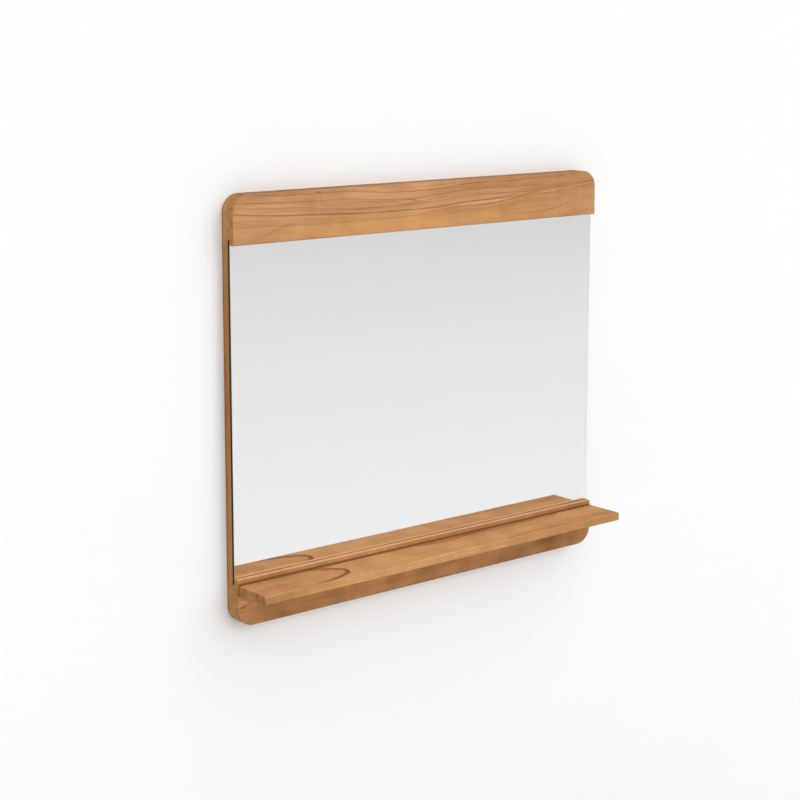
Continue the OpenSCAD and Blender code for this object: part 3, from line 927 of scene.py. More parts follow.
    def tint(self):
        """Each board has its own tone, which drifts along it and across it, and is cloudy. Down the
        lower board the drift is painted light: lighter just below the shelf, darker towards its
        foot.
        """
        finish, figure, seed = self.finish, self.figure, self.seed
        drift = self.down_the_length(figure.along) * self.down_the_board(figure.across)
        own = finish.merge(*(drift * part for part in figure.tint))
        self.times(finish.mix(self.end_mask, own, figure.end_tint))
        cloud = finish.step(
            self.noise(self.plain, 0.011, 0.030, (seed, 4, 12), 3.0), 0.32, 0.68)
        self.times(finish.mix(cloud, (0.975, 0.945, 0.92), (1.025, 1.03, 1.03)))
        mottle = finish.step(
            self.noise(self.plain, 0.022, 0.012, (seed, 9, 5), 2.5, 0.55), 0.36, 0.64)
        plain = self.tone
        self.times(finish.mix(mottle, (0.90, 0.875, 0.85), (1.09, 1.075, 1.06)))
        self.tone = finish.mix(figure.mottle, plain, self.tone)

    def draw(self):
        """The lines and arches of this board's face, and the marks on its sawn ends."""
        finish, figure = self.finish, self.figure
        self.lay_lines(self.along, self.across, figure.lines, "line")
        self.lay_lines(self.across, self.along, figure.arches, "knot")
        for middle, half, strength, key in figure.end_patches:
            mask = self.patch(self.deep, self.across, middle, half, strength)
            self.lay(mask * self.end_mask, key)
        for middle, half, strength, lean in figure.end_bands:
            waver = (self.wide_soft - 0.5) * 6.0
            away = abs(self.across - middle + self.depth * lean + waver)
            self.lay(finish.step(away, half, half * 0.4) * self.end_mask * strength, "line")

    def wear(self):
        """Narrow edges have their own tone. Painted shade darkens the joints, the rear edges by the
        wall and the downward arrises; a painted highlight lightens the upper arrises.
        """
        finish, figure, place, facing = self.finish, self.figure, self.place, self.facing
        strength, key = figure.edge
        self.lay(self.edge_mask * strength, key)
        drift = self.down_the_length(figure.edge_along)
        plain = self.tone
        self.times(finish.merge(drift, drift, drift))
        self.tone = finish.mix(self.edge_mask, plain, self.tone)
        # seams: painted shade along the joints, and a painted highlight where a seam asks for it
        for axis, at, width, strength, face, key in figure.seams:
            away = abs(place[axis] * IN_MM - at)
            faces_it = finish.step(abs(facing[face]), 0.8, 0.95)
            self.lay(finish.step(away, width, width * 0.3) * faces_it * strength, key)
        # painted shade: a contact shadow along the rear edges, next to the wall
        not_back = finish.step(facing["Y"], 0.9, 0.6)
        by_the_wall = finish.step(place["Y"] * IN_MM, -4.2, -1.6)
        self.lay(by_the_wall * not_back * STRENGTHS["contact shadow"], "line")
        # painted highlight on the arrises that face upward
        arris = finish.step(abs(facing["Y"]), 0.12, 0.45)
        upper = finish.step(facing["Z"], 0.12, 0.45) * finish.step(facing["Z"], 0.995, 0.93)
        self.rubbed = upper * arris
        self.lay(self.rubbed * figure.rubbed, "rubbed")
        # painted shade on the arrises that face downward
        under = finish.step(facing["Z"], -0.12, -0.45) * arris
        self.lay(under * STRENGTHS["painted shade under arris"], "dark")

    def oil(self):
        """Ends the material: satin where the wood is close, dull in the pores and on the ends."""
        finish, colours = self.finish, self.colours
        rough = (self.streaks - 0.5) * 0.22 + self.pores * 0.16 + self.end_mask * 0.12
        rough = rough - self.rubbed * 0.08 + colours.roughness
        height = self.fibres * 0.35 - self.pores * 0.8 - self.late * 0.15
        return finish.surface(
            Base_Color=self.tone, Roughness=rough, Specular_IOR_Level=0.015,
            Normal=finish.bump(height, colours.grain_depth, 0.8))


def teak(name, colours, order, corner, seed, figure):
    """Oiled teak with the figure of one board."""
    wood = Wood(name, colours, order, corner, seed, figure)
    for stage in (wood.grow, wood.saw, wood.tint, wood.draw, wood.wear):
        stage()
    return wood.oil()


# ---- other finishes ----

def mirror_silver(glass):
    """Silvered glass with the faintest wiping marks."""
    finish = new_finish("mirror_silver")
    smears = finish.noise(finish.coordinates(), (5, 5, 9), (2, 3, 5), 4.0, 0.6)
    tint = finish.mix(
        finish.step(smears, 0.4, 0.9) * 0.25, glass.silver, shade(glass.silver, 0.985))
    return finish.surface(
        Base_Color=tint, Roughness=finish.step(smears, 0.55, 0.85) * 0.02 + glass.roughness,
        Metallic=1.0)


def glass_edge(glass):
    """Sealed dark edge of the mirror."""
    finish = new_finish("glass_edge")
    grind = finish.noise(finish.coordinates(), (900, 900, 60), (1, 4, 2))
    return finish.surface(
        Base_Color=finish.mix(grind * 0.5, glass.edge, shade(glass.edge, 1.9)),
        Roughness=grind * 0.2 + 0.5, Specular_IOR_Level=0.2,
        Normal=finish.bump(grind, 0.02 * MM, 0.5))


def glass_arris(glass):
    """Ground arris along the upright edges of the mirror."""
    finish = new_finish("glass_arris")
    grind = finish.noise(finish.coordinates(), (1500, 1500, 300), (6, 1, 2))
    return finish.surface(
        Base_Color=finish.mix(grind, glass.arris, shade(glass.arris, 1.2)),
        Roughness=grind * 0.15 + 0.3, Metallic=0.6, Normal=finish.bump(grind, 0.01 * MM, 0.5))


def backing_paint(glass):
    """Sprayed paint over the silver."""
    finish = new_finish("backing_paint")
    place = finish.coordinates()
    spray = finish.noise(place, (420, 420, 420), (6, 1, 2), 3.0, 0.7)
    cloud = finish.noise(place, (8, 8, 8), (1, 1, 2))
    return finish.surface(
        Base_Color=finish.mix(cloud * 0.5 + spray * 0.3, glass.paint, shade(glass.paint, 1.25)),
        Roughness=spray * 0.15 + 0.5, Normal=finish.bump(spray, 0.03 * MM, 0.6))


def foam_tape(name, tint):
    """Closed-cell foam or rubber with a fine matt skin."""
    finish = new_finish(name)
    place = finish.coordinates()
    cells = finish.noise(place, (2600, 2600, 2600), (1, 2, 3), 2.0, 0.7)
    cloud = finish.noise(place, (60, 60, 60), (1, 2, 3))
    return finish.surface(
        Base_Color=finish.mix(cells * 0.5 + cloud * 0.3, tint, shade(tint, 1.8)),
        Roughness=cells * 0.15 + 0.75, Specular_IOR_Level=0.2,
        Normal=finish.bump(cells, 0.03 * MM, 0.8))


def zinc_steel(metal):
    """Zinc plating: slightly cloudy, with fine rolling marks and dull edges."""
    finish = new_finish("zinc_plating")
    place = finish.coordinates()
    cloud = finish.noise(place, (260, 260, 260), (1, 7, 3), 3.0, 0.6)
    marks = finish.noise(place, (3200, 3200, 320), (2, 7, 3), 2.0, 0.6)
    tone = finish.mix(finish.step(cloud, 0.35, 0.75), metal.zinc, shade(metal.zinc, 0.78))
    tone = finish.mix(finish.step(marks, 0.55, 0.8) * 0.35, tone, shade(metal.zinc, 0.6))
    return finish.surface(
        Base_Color=tone, Roughness=cloud * 0.22 + marks * 0.12 + 0.18, Metallic=1.0,
        Normal=finish.bump(marks, 0.01 * MM, 0.7))


def wool_felt(metal):
    """Pressed wool felt, with fibres that cross each other."""
    finish = new_finish("wool_felt")
    place = finish.coordinates()
    one_way = finish.noise(place, (900, 2600, 3400), (1, 2, 3), 3.0, 0.7)
    other_way = finish.noise(place, (3400, 2600, 900), (5, 2, 3), 3.0, 0.7)
    fluff = finish.math("MAXIMUM", one_way, other_way)
    tone = finish.mix(finish.step(fluff, 0.45, 0.75), metal.felt, shade(metal.felt, 1.9))
    return finish.surface(
        Base_Color=tone, Roughness=0.95, Sheen_Weight=0.35,
        Normal=finish.bump(fluff, 0.15 * MM, 1.0))


def plywood(metal):
    """Rotary-cut face veneer with broad, soft figure."""
    finish = new_finish("plywood_veneer")
    place = finish.coordinates()
    sway = finish.noise(place, (5.0, 1, 0.9), (2, 3, 7), 3.0) - 0.5
    lines = finish.math("FRACT", finish.split(place)[0] * 34.0 + sway * 7.0)
    figure = finish.step(lines, 0.1, 0.9) * finish.step(lines, 1.0, 0.9)
    broad = finish.noise(place, (14, 14, 1.6), (3, 5, 2), 3.0, 0.6)
    fibres = finish.noise(place, (900, 900, 14), (4, 2, 6), 2.5, 0.6)
    cloud = finish.noise(place, (6, 6, 2.5), (8, 1, 2))
    tone = metal.plywood
    for mask, tint in (
            (figure * finish.step(broad, 0.35, 0.65) * 0.30, (0.74, 0.66, 0.58)),
            (finish.step(broad, 0.45, 0.75) * 0.25, (0.74, 0.66, 0.58)),
            (finish.step(fibres, 0.5, 0.8) * 0.4, (0.74, 0.66, 0.58)),
            (finish.step(cloud, 0.4, 0.7) * 0.25, (1.14,))):
        tone = finish.mix(mask, tone, shade(metal.plywood, *tint))
    return finish.surface(
        Base_Color=tone, Roughness=fibres * 0.15 + 0.6,
        Normal=finish.bump(fibres, 0.05 * MM, 0.7))


def beech(metal):
    """Beech with its short dark flecks."""
    finish = new_finish("beech_dowel")
    place = finish.coordinates()
    flecks = finish.noise(place, (1400, 180, 1400), (4, 2, 6), 1.5, 0.6)
    fibres = finish.noise(place, (2400, 60, 2400), (4, 5, 6), 2.0, 0.6)
    tone = finish.mix(finish.step(flecks, 0.58, 0.7) * 0.6, metal.beech, shade(metal.beech, 0.62))
    return finish.surface(
        Base_Color=tone, Roughness=fibres * 0.15 + 0.55,
        Normal=finish.bump(fibres, 0.04 * MM, 0.7))


# ---- boards ----

def tenon_middle(sizes):
    """Middle of the tenons' thickness, between the glass and the back panel's rebate."""
    return (TAPE_HIGH.y - sizes.rebate_depth) / 2


def shaped_board(name, low, high, up, groove_depth, sizes):
    """A board with its outer corners rounded and its inner edge grooved, rebated and mortised."""
    half, front, back, radius = high.x, low.y, high.y, sizes.corner_radius
    outer_z, inner_z = (high.z, low.z) if up > 0 else (low.z, high.z)

    def on_rim(point):
        """True on the ends, the rounded corners and the outer edge, seen from the front."""
        reach = (outer_z - point.z) * up
        if abs(point.x) > half - radius - TOLERANCE and reach < radius + TOLERANCE:
            from_middle = math.hypot(abs(point.x) - (half - radius), radius - reach)
            return near(from_middle, radius, 10 * TOLERANCE)
        return near(abs(point.x), half) or near(reach, 0)

    def cut_slot(x0, x1, y0, y1, depth):
        z0, z1 = sorted((inner_z - up * CUT_OVER, inner_z + up * depth))
        cut(board, block("slot", (x0, y0, z0), (x1, y1, z1)))

    board = block(name, low, high)
    edit(board)
    pick(board, "edges", lambda e: lies_at(e, z=outer_z) and runs_along(e, "y"))
    bevel(radius, sizes.corner_segments)
    deselect_all()

    glass_front = front + sizes.lip_thickness
    cut_slot(-half - CUT_OVER, half + CUT_OVER, glass_front, TAPE_HIGH.y, groove_depth)
    bay = STILE_LOW.x + sizes.rebate_width
    cut_slot(-bay, bay, back - sizes.rebate_depth, back + CUT_OVER, sizes.rebate_width)

    ease(board, sizes.arris_radius, ARRIS_SEGMENTS,
         lambda e: lies_at(e, y=front) and (all_ends(e, on_rim) or lies_at(e, z=inner_z)))
    ease(board, sizes.arris_radius, ARRIS_SEGMENTS,
         lambda e: lies_at(e, y=back) and all_ends(e, on_rim))
    ease(board, sizes.fine_arris, FINE_SEGMENTS, lambda e: lies_at(e, y=glass_front, z=inner_z))

    tenon_y, thick = tenon_middle(sizes), sizes.tenon_thickness / 2 + JOINT_PLAY
    for low_x, high_x, deep in (
            (-STILE_HIGH.x, -STILE_LOW.x, sizes.tenon_length),
            (CENTRE_LOW.x, CENTRE_HIGH.x, sizes.stub_length),
            (STILE_LOW.x, STILE_HIGH.x, sizes.tenon_length)):
        shoulder = sizes.tenon_shoulder - JOINT_PLAY
        cut_slot(low_x + shoulder, high_x - shoulder, tenon_y - thick, tenon_y + thick,
                 deep + MORTISE_ROOM)
    return board


def screw_cutter(place, thread, long):
    """Cutter for a countersunk hole whose head face is at place, pointing forward."""
    radius, shank, cone = thread + JOINT_PLAY, thread / 2 + JOINT_PLAY, thread / 2
    x, y, z = place
    mouth = round_bar(
        "mouth", (x, y + (CUT_OVER - SCREW_RIM) / 2, z), radius, CUT_OVER + SCREW_RIM)
    sink = round_bar("sink", (x, y - SCREW_RIM - cone / 2, z), radius, cone, shank)
    hole = round_bar("hole", (x, y - SCREW_RIM - cone - long / 2, z), shank, long)
    open_ends(mouth, min)
    open_ends(sink, min, max)
    open_ends(hole, max)
    whole = joined([mouth, sink, hole])
    edit(whole)
    bpy.ops.mesh.select_all(action="SELECT")
    bpy.ops.mesh.remove_doubles(threshold=TOLERANCE)
    bpy.ops.mesh.normals_make_consistent(inside=False)
    deselect_all()
    return whole


def open_ends(part, *ends):
    """Takes away flat end faces, so that parts in line become one shell."""
    wanted = [end(vert.co.y for vert in part.data.vertices) for end in ends]
    edit(part)
    pick(part, "faces", lambda face: any(lies_at(face, y=y) for y in wanted))
    bpy.ops.mesh.delete(type="FACE")
    deselect_all()


def screw_size(fittings, kind):
    """Thread diameter and length of the panel, hanger or shelf screws."""
    return getattr(fittings, kind + "_screw"), getattr(fittings, kind + "_screw_length")


def screw_holes(fittings, kind, places):
    return [screw_cutter(place, *screw_size(fittings, kind)) for place in places]


def dowel_holes(way):
    """Cutters for the dowels, backward into the lower board or forward into the shelf."""
    return [round_bar("dowel_hole", (x, y + way * DOWEL_HOLE_MIDDLE, z), DOWEL_HOLE_RADIUS,
                      DOWEL_HOLE_LENGTH) for x, y, z in dowel_places()]


# ---- where the fixings go ----

def evenly(first, last, count):
    return [first + i * (last - first) / (count - 1) for i in range(count)]


def panel_screw_places(wanted=lambda x, z: True):
    """Places of the heads of the screws in the back panel that pass the test."""
    edge, top, bottom = PANEL_HIGH.x, PANEL_HIGH.z, PANEL_LOW.z
    side, row = edge - PANEL_EDGE_INSET, edge - PANEL_ROW_INSET
    places = [(x, z) for x in evenly(-row, row, PANEL_ROW_COUNT)
              for z in (top - PANEL_EDGE_INSET, bottom + PANEL_EDGE_INSET)]
    places += [(x, z) for z in evenly(
        bottom + PANEL_COLUMN_INSET, top - PANEL_COLUMN_INSET, PANEL_COLUMN_COUNT)
        for x in (-side, 0.0, side)]
    return [(x, PANEL_HIGH.y, z) for x, z in places if wanted(x, z)]


def hanger_screw_places(fittings):
    hanger_x = (PLATE_LOW.x + PLATE_HIGH.x) / 2
    low, high = PLATE_LOW.z + fittings.plate_screw_edge, PLATE_HIGH.z - fittings.plate_screw_edge
    return [(x, 0.0, z) for x in (hanger_x, -hanger_x) for z in (low, high)]


def shelf_screw_places():
    first = SHELF_LOW.x + SHELF_SCREW_INSET
    z = (SHELF_LOW.z + SHELF_HIGH.z) / 2
    return [(x, -SHELF_SCREW_SINK, z) for x in evenly(first, -first, SHELF_SCREW_COUNT)]


def dowel_places():
    """On the joint of shelf and board, midway between the screws."""
    screws = shelf_screw_places()
    return [((a[0] + b[0]) / 2, SHELF_HIGH.y, a[2]) for a, b in zip(screws, screws[1:])]


# ---- operators ----

class MIRROR_OT_header_board(bpy.types.Operator):
    """Header board with its glass groove, hanger recesses and rounded upper corners"""

    bl_idname = "mirror_shelf.header_board"
    bl_label = "Header board"

    def execute(self, context):
        sizes, fittings, colours = settings(context, "boards", "fittings", "wood")
        board = shaped_board("header", HEADER_LOW, HEADER_HIGH, 1, sizes.header_groove, sizes)
        hanger_x = abs(PLATE_LOW.x + PLATE_HIGH.x) / 2
        play = fittings.plate_play
        half = (PLATE_HIGH.x - PLATE_LOW.x) / 2 + play
        radius, deep = fittings.pocket_radius, fittings.pocket_depth
        for x in (-hanger_x, hanger_x):
            recess = block(
                "recess", (x - half, -fittings.plate_thickness, PLATE_LOW.z - play),
                (x + half, CUT_OVER, PLATE_HIGH.z + play))
            round_off(recess, half)
            cut(board, recess)
            pocket = block(
                "pocket", (x - radius, -deep, -radius),
                (x + radius, CUT_OVER, fittings.slot_length + radius))
            round_off(pocket, radius)
            cut(board, pocket)
        in_header = panel_screw_places(lambda x, z: z > HEADER_LOW.z)
        cut(board, *screw_holes(fittings, "hanger", hanger_screw_places(fittings)),
            *screw_holes(fittings, "panel", in_header))
        corner = (HEADER_LOW.x, HEADER_HIGH.z, HEADER_LOW.y)
        dress(board, teak("teak_header", colours, "XZY", corner, seed=3.1, figure=HEADER_FIGURE))
        finish_piece(board, "teak", "header_board")
        return {"FINISHED"}


class MIRROR_OT_lower_board(bpy.types.Operator):
    """Lower board with its glass groove, shelf fixings and rounded lower corners"""

    bl_idname = "mirror_shelf.lower_board"
    bl_label = "Lower board"

    def execute(self, context):
        sizes, fittings, colours = settings(context, "boards", "fittings", "wood")
        board = shaped_board("lower_rail", LOWER_LOW, LOWER_HIGH, -1, sizes.lower_groove, sizes)
        in_lower = panel_screw_places(lambda x, z: z < LOWER_HIGH.z)
        cut(board, *screw_holes(fittings, "shelf", shelf_screw_places()),
            *screw_holes(fittings, "panel", in_lower), *dowel_holes(1))
        corner = (LOWER_LOW.x, LOWER_HIGH.z, LOWER_LOW.y)
        dress(board, teak("teak_lower", colours, "XZY", corner, seed=8.7, figure=LOWER_FIGURE))
        finish_piece(board, "teak", "lower_board")
        return {"FINISHED"}


class MIRROR_OT_shelf(bpy.types.Operator):
    """Shelf board with its edges sanded round"""

    bl_idname = "mirror_shelf.shelf"
    bl_label = "Shelf"

    def execute(self, context):
        sizes, fittings, colours = settings(context, "boards", "fittings", "wood")
        shelf = block("shelf", SHELF_LOW, SHELF_HIGH)
        front, back, top, half = SHELF_LOW.y, SHELF_HIGH.y, SHELF_HIGH.z, SHELF_HIGH.x
        beside_front = front + 2 * sizes.arris_radius
        ease(shelf, sizes.arris_radius, ARRIS_SEGMENTS, lambda e: lies_at(e, y=front))
        ease(shelf, sizes.fine_arris, FINE_SEGMENTS, lambda e: runs_along(e, "y")
             and (lies_at(e, x=half) or lies_at(e, x=-half))
             and not all_ends(e, lambda p: p.y < beside_front))
        ease(shelf, sizes.arris_radius, ARRIS_SEGMENTS, lambda e: lies_at(e, y=back, z=top))
        cut(shelf, *screw_holes(fittings, "shelf", shelf_screw_places()), *dowel_holes(-1))
        corner = (SHELF_LOW.x, SHELF_HIGH.y, SHELF_LOW.z)
        dress(shelf, teak("teak_shelf", colours, "XYZ", corner, seed=5.4, figure=SHELF_FIGURE))
        finish_piece(shelf, "teak", "shelf_board")
        return {"FINISHED"}


class MIRROR_OT_stiles(bpy.types.Operator):
    """Left, right and centre stiles with their tenons"""

    bl_idname = "mirror_shelf.stiles"
    bl_label = "Stiles"

    def execute(self, context):
        sizes, fittings, colours = settings(context, "boards", "fittings", "wood")
        foot, head, front = LOWER_HIGH.z, HEADER_LOW.z, TAPE_HIGH.y
        for name, low_x, high_x, back, tenon, seed in (
                ("left", -STILE_HIGH.x, -STILE_LOW.x, 0.0, sizes.tenon_length, 2.3),
                ("right", STILE_LOW.x, STILE_HIGH.x, 0.0, sizes.tenon_length, 6.6),
                ("centre", CENTRE_LOW.x, CENTRE_HIGH.x, -sizes.rebate_depth,
                 sizes.stub_length, 4.9)):
            stile = block(name + "_upright", (low_x, front, foot), (high_x, back, head))
            add_tenons(stile, low_x, high_x, tenon, sizes)
            if name != "centre":
                rebate_stile(stile, 1 if low_x > 0 else -1, sizes)
            in_stile = panel_screw_places(
                lambda x, z: low_x < x < high_x and foot < z < head)
            cut(stile, *screw_holes(fittings, "panel", in_stile))
            dress(stile, teak(f"teak_{name}_upright", colours, "ZXY", (foot, high_x, front),
                              seed, UPRIGHT_FIGURE))
            finish_piece(stile, "teak_upright", name + "_stile")
        return {"FINISHED"}


def add_tenons(stile, low_x, high_x, tenon, sizes):
    """Draws a tenon out of the head and the foot of a stile."""
    tenon_y, thick = tenon_middle(sizes), sizes.tenon_thickness / 2
    from_x, to_x = low_x + sizes.tenon_shoulder, high_x - sizes.tenon_shoulder

    def on_tenon(face):
        middle = face.calc_center_median()
        return from_x < middle.x < to_x and abs(middle.y - tenon_y) < thick

    edit(stile)
    for place, way in (
            ((from_x, 0, 0), (1, 0, 0)), ((to_x, 0, 0), (1, 0, 0)),
            ((0, tenon_y - thick, 0), (0, 1, 0)), ((0, tenon_y + thick, 0), (0, 1, 0))):
        bpy.ops.mesh.select_all(action="SELECT")
        bpy.ops.mesh.bisect(plane_co=place, plane_no=way)
    for end, move in ((HEADER_LOW.z, tenon), (LOWER_HIGH.z, -tenon)):
        pick(stile, "faces", lambda face: lies_at(face, z=end) and on_tenon(face))
        bpy.ops.mesh.extrude_region_move(TRANSFORM_OT_translate={"value": (0, 0, move)})
    deselect_all()


def rebate_stile(stile, side, sizes):
    """Cuts a side stile's rebate for the back panel and eases its outer rear edge."""
    low_x, high_x = sorted(
        (side * (STILE_LOW.x - CUT_OVER), side * (STILE_LOW.x + sizes.rebate_width)))
    cut(stile, block("rebate", (low_x, -sizes.rebate_depth, LOWER_HIGH.z - CUT_OVER),
                     (high_x, CUT_OVER, HEADER_LOW.z + CUT_OVER)))
    ease(stile, sizes.arris_radius, ARRIS_SEGMENTS,
         lambda e: lies_at(e, x=side * STILE_HIGH.x, y=0.0))


class MIRROR_OT_glass(bpy.types.Operator):
    """Mirror glass with ground and sealed upright edges"""

    bl_idname = "mirror_shelf.glass"
    bl_label = "Mirror glass"

    def execute(self, context):
        fittings, colours = settings(context, "fittings", "glass")
        pane = block("mirror_pane", GLASS_LOW, GLASS_HIGH)
        half = GLASS_HIGH.x
        ease(pane, fittings.glass_arris, GLASS_SEGMENTS, lambda e: runs_along(e, "z")
             and (lies_at(e, x=half) or lies_at(e, x=-half)))
        dress(pane, mirror_silver(colours), glass_edge(colours), glass_arris(colours),
              backing_paint(colours))
        square, slanting = 0.9, 0.3  # least share of a face's normal along an axis
        paint_faces(pane, 1, lambda f: max(abs(f.normal.x), abs(f.normal.z)) > square)
        paint_faces(pane, 2, lambda f: slanting < abs(f.normal.x) < square)
        paint_faces(pane, 3, lambda f: f.normal.y > square)
        make_active(pane)
        bpy.ops.object.shade_flat()
        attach(pane, "root")
        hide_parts("mirror_glass")
        return {"FINISHED"}


class MIRROR_OT_glass_fixings(bpy.types.Operator):
    """Finish of the mounting tape, glazing strips, setting blocks and dowels"""

    bl_idname = "mirror_shelf.glass_fixings"
    bl_label = "Tape, strips, blocks and dowels"

    def execute(self, context):
        colours, = settings(context, "metal")
        tapes = ("left_mirror_tape", "right_mirror_tape", "centre_mirror_tape",
                 "upper_glazing_strip", "lower_glazing_strip")
        for material, names in (
                (foam_tape("foam_tape", colours.tape), tapes),
                (foam_tape("block_rubber_skin", colours.rubber), ("setting_blocks",)),
                (beech(colours), ("shelf_dowels",))):
            for name in names:
                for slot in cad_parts[name].material_slots:
                    slot.material = material
        return {"FINISHED"}


class MIRROR_OT_back_panel(bpy.types.Operator):
    """Plywood panel with countersunk holes"""

    bl_idname = "mirror_shelf.back_panel"
    bl_label = "Back panel"

    def execute(self, context):
        fittings, colours = settings(context, "fittings", "metal")
        panel = block("plywood_panel", PANEL_LOW, PANEL_HIGH)
        ease(panel, fittings.panel_arris, FINE_SEGMENTS, lambda e: lies_at(e, y=PANEL_HIGH.y))
        cut(panel, *screw_holes(fittings, "panel", panel_screw_places()))
        dress(panel, plywood(colours))
        finish_piece(panel, "plywood", "back_panel")
        return {"FINISHED"}


def zinc_of(colours):
    return bpy.data.materials.get("zinc_plating") or zinc_steel(colours)


class MIRROR_OT_hangers(bpy.types.Operator):
    """Two keyhole plates of zinc-plated steel"""

    bl_idname = "mirror_shelf.hangers"
    bl_label = "Keyhole plates"

    def execute(self, context):
        fittings, colours = settings(context, "fittings", "metal")
        slot_r = fittings.slot_radius
        for name, node in (("keyhole_plate_left", "left_hanger_plate"),
                           ("keyhole_plate_right", "right_hanger_plate")):
            low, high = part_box(node)
            x = (low.x + high.x) / 2
            through = low.y - CUT_OVER
            plate = block(name, low, high)
            round_off(plate, (high.x - low.x) / 2)
            slot = block("slot", (x - slot_r, through, -slot_r),
                         (x + slot_r, CUT_OVER, fittings.slot_length + slot_r))
            round_off(slot, slot_r)
            cut(plate, slot)
            cut(plate, round_bar("entry", (x, (through + CUT_OVER) / 2, 0), fittings.entry_radius,
                                 CUT_OVER - through, vertices=FINE_ROUND))
            ease(plate, fittings.plate_arris, FINE_SEGMENTS,
                 lambda e: lies_at(e, y=high.y) or lies_at(e, y=low.y))
            own = [place for place in hanger_screw_places(fittings) if low.x < place[0] < high.x]
            cut(plate, *screw_holes(fittings, "hanger", own))
            dress(plate, zinc_of(colours))
            finish_piece(plate, "zinc_steel", node)
        return {"FINISHED"}


def wood_screw(name, thread, long):
    """Countersunk screw along -Y, with its head's face at the origin and a cross recess."""
    head = SCREW_RIM + thread / 2
    radius, place = thread - HEAD_CHAMFER, 0.0
    deselect_all()
    bpy.ops.mesh.primitive_circle_add(
        vertices=COARSE_ROUND, radius=radius, fill_type="NGON", location=(0, 0, 0),
        rotation=(math.pi / 2, 0, 0))
    screw = applied(name)
    edit(screw)
    bpy.ops.mesh.select_all(action="SELECT")
    for wide, deep in (
            (thread, HEAD_CHAMFER), (thread, SCREW_RIM), (thread / 2, head),
            (thread / 2, long - thread), (thread / 16, long)):
        bpy.ops.mesh.extrude_region_move(TRANSFORM_OT_translate={"value": (0, place - deep, 0)})
        factor = wide / radius
        bpy.ops.transform.resize(value=(factor, 1, factor), center_override=(0, -deep, 0))
        radius, place = wide, deep
    bpy.ops.mesh.select_all(action="SELECT")
    bpy.ops.mesh.normals_make_consistent(inside=False)
    deselect_all()
    wide, deep = thread * RECESS_SPAN, head * RECESS_DEPTH
    for x, z in ((wide, RECESS_HALF), (RECESS_HALF, wide)):
        wing = block("wing", (-x, -deep, -z), (x, CUT_OVER / 2, z))
        edit(wing)
        pick(wing, "faces", lambda face: lies_at(face, y=-deep))
        bpy.ops.transform.resize(
            value=(RECESS_TAPER, 1, RECESS_TAPER), center_override=(0, -deep, 0))
        deselect_all()
        cut(screw, wing)
    return screw


class MIRROR_OT_screws(bpy.types.Operator):
    """Screws of the back panel, the keyhole plates and the shelf"""

    bl_idname = "mirror_shelf.screws"
    bl_label = "Screws"

    def execute(self, context):
        fittings, colours = settings(context, "fittings", "metal")
        for kind, places in (
                ("panel", panel_screw_places()), ("hanger", hanger_screw_places(fittings)),
                ("shelf", shelf_screw_places())):
            screw = wood_screw("first_screw", *screw_size(fittings, kind))
            dress(screw, zinc_of(colours))
            screws = copies(screw, kind + "_fixing", places)
            finish_piece(screws, "zinc_steel", kind + "_screws", angle=30)
        return {"FINISHED"}


class MIRROR_OT_wall_pads(bpy.types.Operator):
    """Felt pads between the boards and the wall"""

    bl_idname = "mirror_shelf.wall_pads"
    bl_label = "Wall pads"

    def execute(self, context):
        fittings, colours = settings(context, "fittings", "metal")
        radius = fittings.pad_diameter / 2
        thick = PADS_HIGH.y - PADS_LOW.y
        pad = round_bar("first_pad", (0, thick / 2, 0), radius, thick, vertices=FINE_ROUND)
        ease(pad, fittings.pad_arris, ARRIS_SEGMENTS, lambda e: lies_at(e, y=thick))
        edit(pad)
        pick(pad, "faces", lambda face: lies_at(face, y=thick))
        bpy.ops.mesh.extrude_region_move(TRANSFORM_OT_translate={"value": (0, 0, 0)})
        bpy.ops.transform.resize(
            value=(PAD_FLAT, 1, PAD_FLAT), center_override=(0, thick, 0))
        deselect_all()
        dress(pad, wool_felt(colours))
        x = PADS_HIGH.x - radius
        low, high = PADS_LOW.z + radius, PADS_HIGH.z - radius
        pads = copies(pad, "felt_pads", [(a, 0, b) for a in (-x, x) for b in (low, high)])
        finish_piece(pads, "felt", "wall_pads")
        return {"FINISHED"}


class MIRROR_OT_studio(bpy.types.Operator):
    """Pale wall and floor, soft light and the camera"""

    bl_idname = "mirror_shelf.studio"
    bl_label = "Studio"

    def execute(self, context):
        scene = context.scene
        studio = scene.mirror_studio
        deselect_all()
        bpy.ops.mesh.primitive_plane_add(
            size=WALL_SIDE, location=(0, PADS_HIGH.y + WALL_GAP, 0), rotation=(math.pi / 2, 0, 0))
        wall = applied("studio_wall")
        wall.visible_glossy = False
        bpy.ops.mesh.primitive_plane_add(size=FLOOR_SIDE, location=(0, 0, -studio.floor_drop))
        floor = applied("studio_floor")
        wall.data.materials.append(one_sided_paint("wall_paint", studio.wall))
        floor.data.materials.append(floor_paint("floor_paint", studio.floor, studio.backdrop))
        light_the_room(scene, studio)
        light_the_back(studio, wall)
        place_camera(scene, studio)
        return {"FINISHED"}


def floor_paint(name, tint, glow):
    """Pale floor with painted shade at the foot of the wall, which melts into the background far
    away.
    """
    finish = new_finish(name)
    flat_place = finish.vector("MULTIPLY", finish.coordinates(), (1, 1, 0))
    away = finish.vector("LENGTH", flat_place, output=1)
    # painted shade: the floor darkens towards the foot of the wall
    near_edge, far_edge, painted_foot_shade = 0.3, 2.7, 0.60
    tone = finish.mix(finish.step(away, near_edge, far_edge), shade(tint, painted_foot_shade), tint)
    paint = finish.node(
        "ShaderNodeBsdfPrincipled",
        inputs={"Base Color": tone, "Roughness": 0.9, "Specular IOR Level": 0.1})
    haze = finish.node("ShaderNodeEmission", inputs={"Color": (1, 1, 1, 1), "Strength": glow})
    far = finish.step(away, FAR_FLOOR, FLOOR_SIDE / 2)
    return finish.end(finish.node("ShaderNodeMixShader", inputs={0: far, 1: paint, 2: haze}))


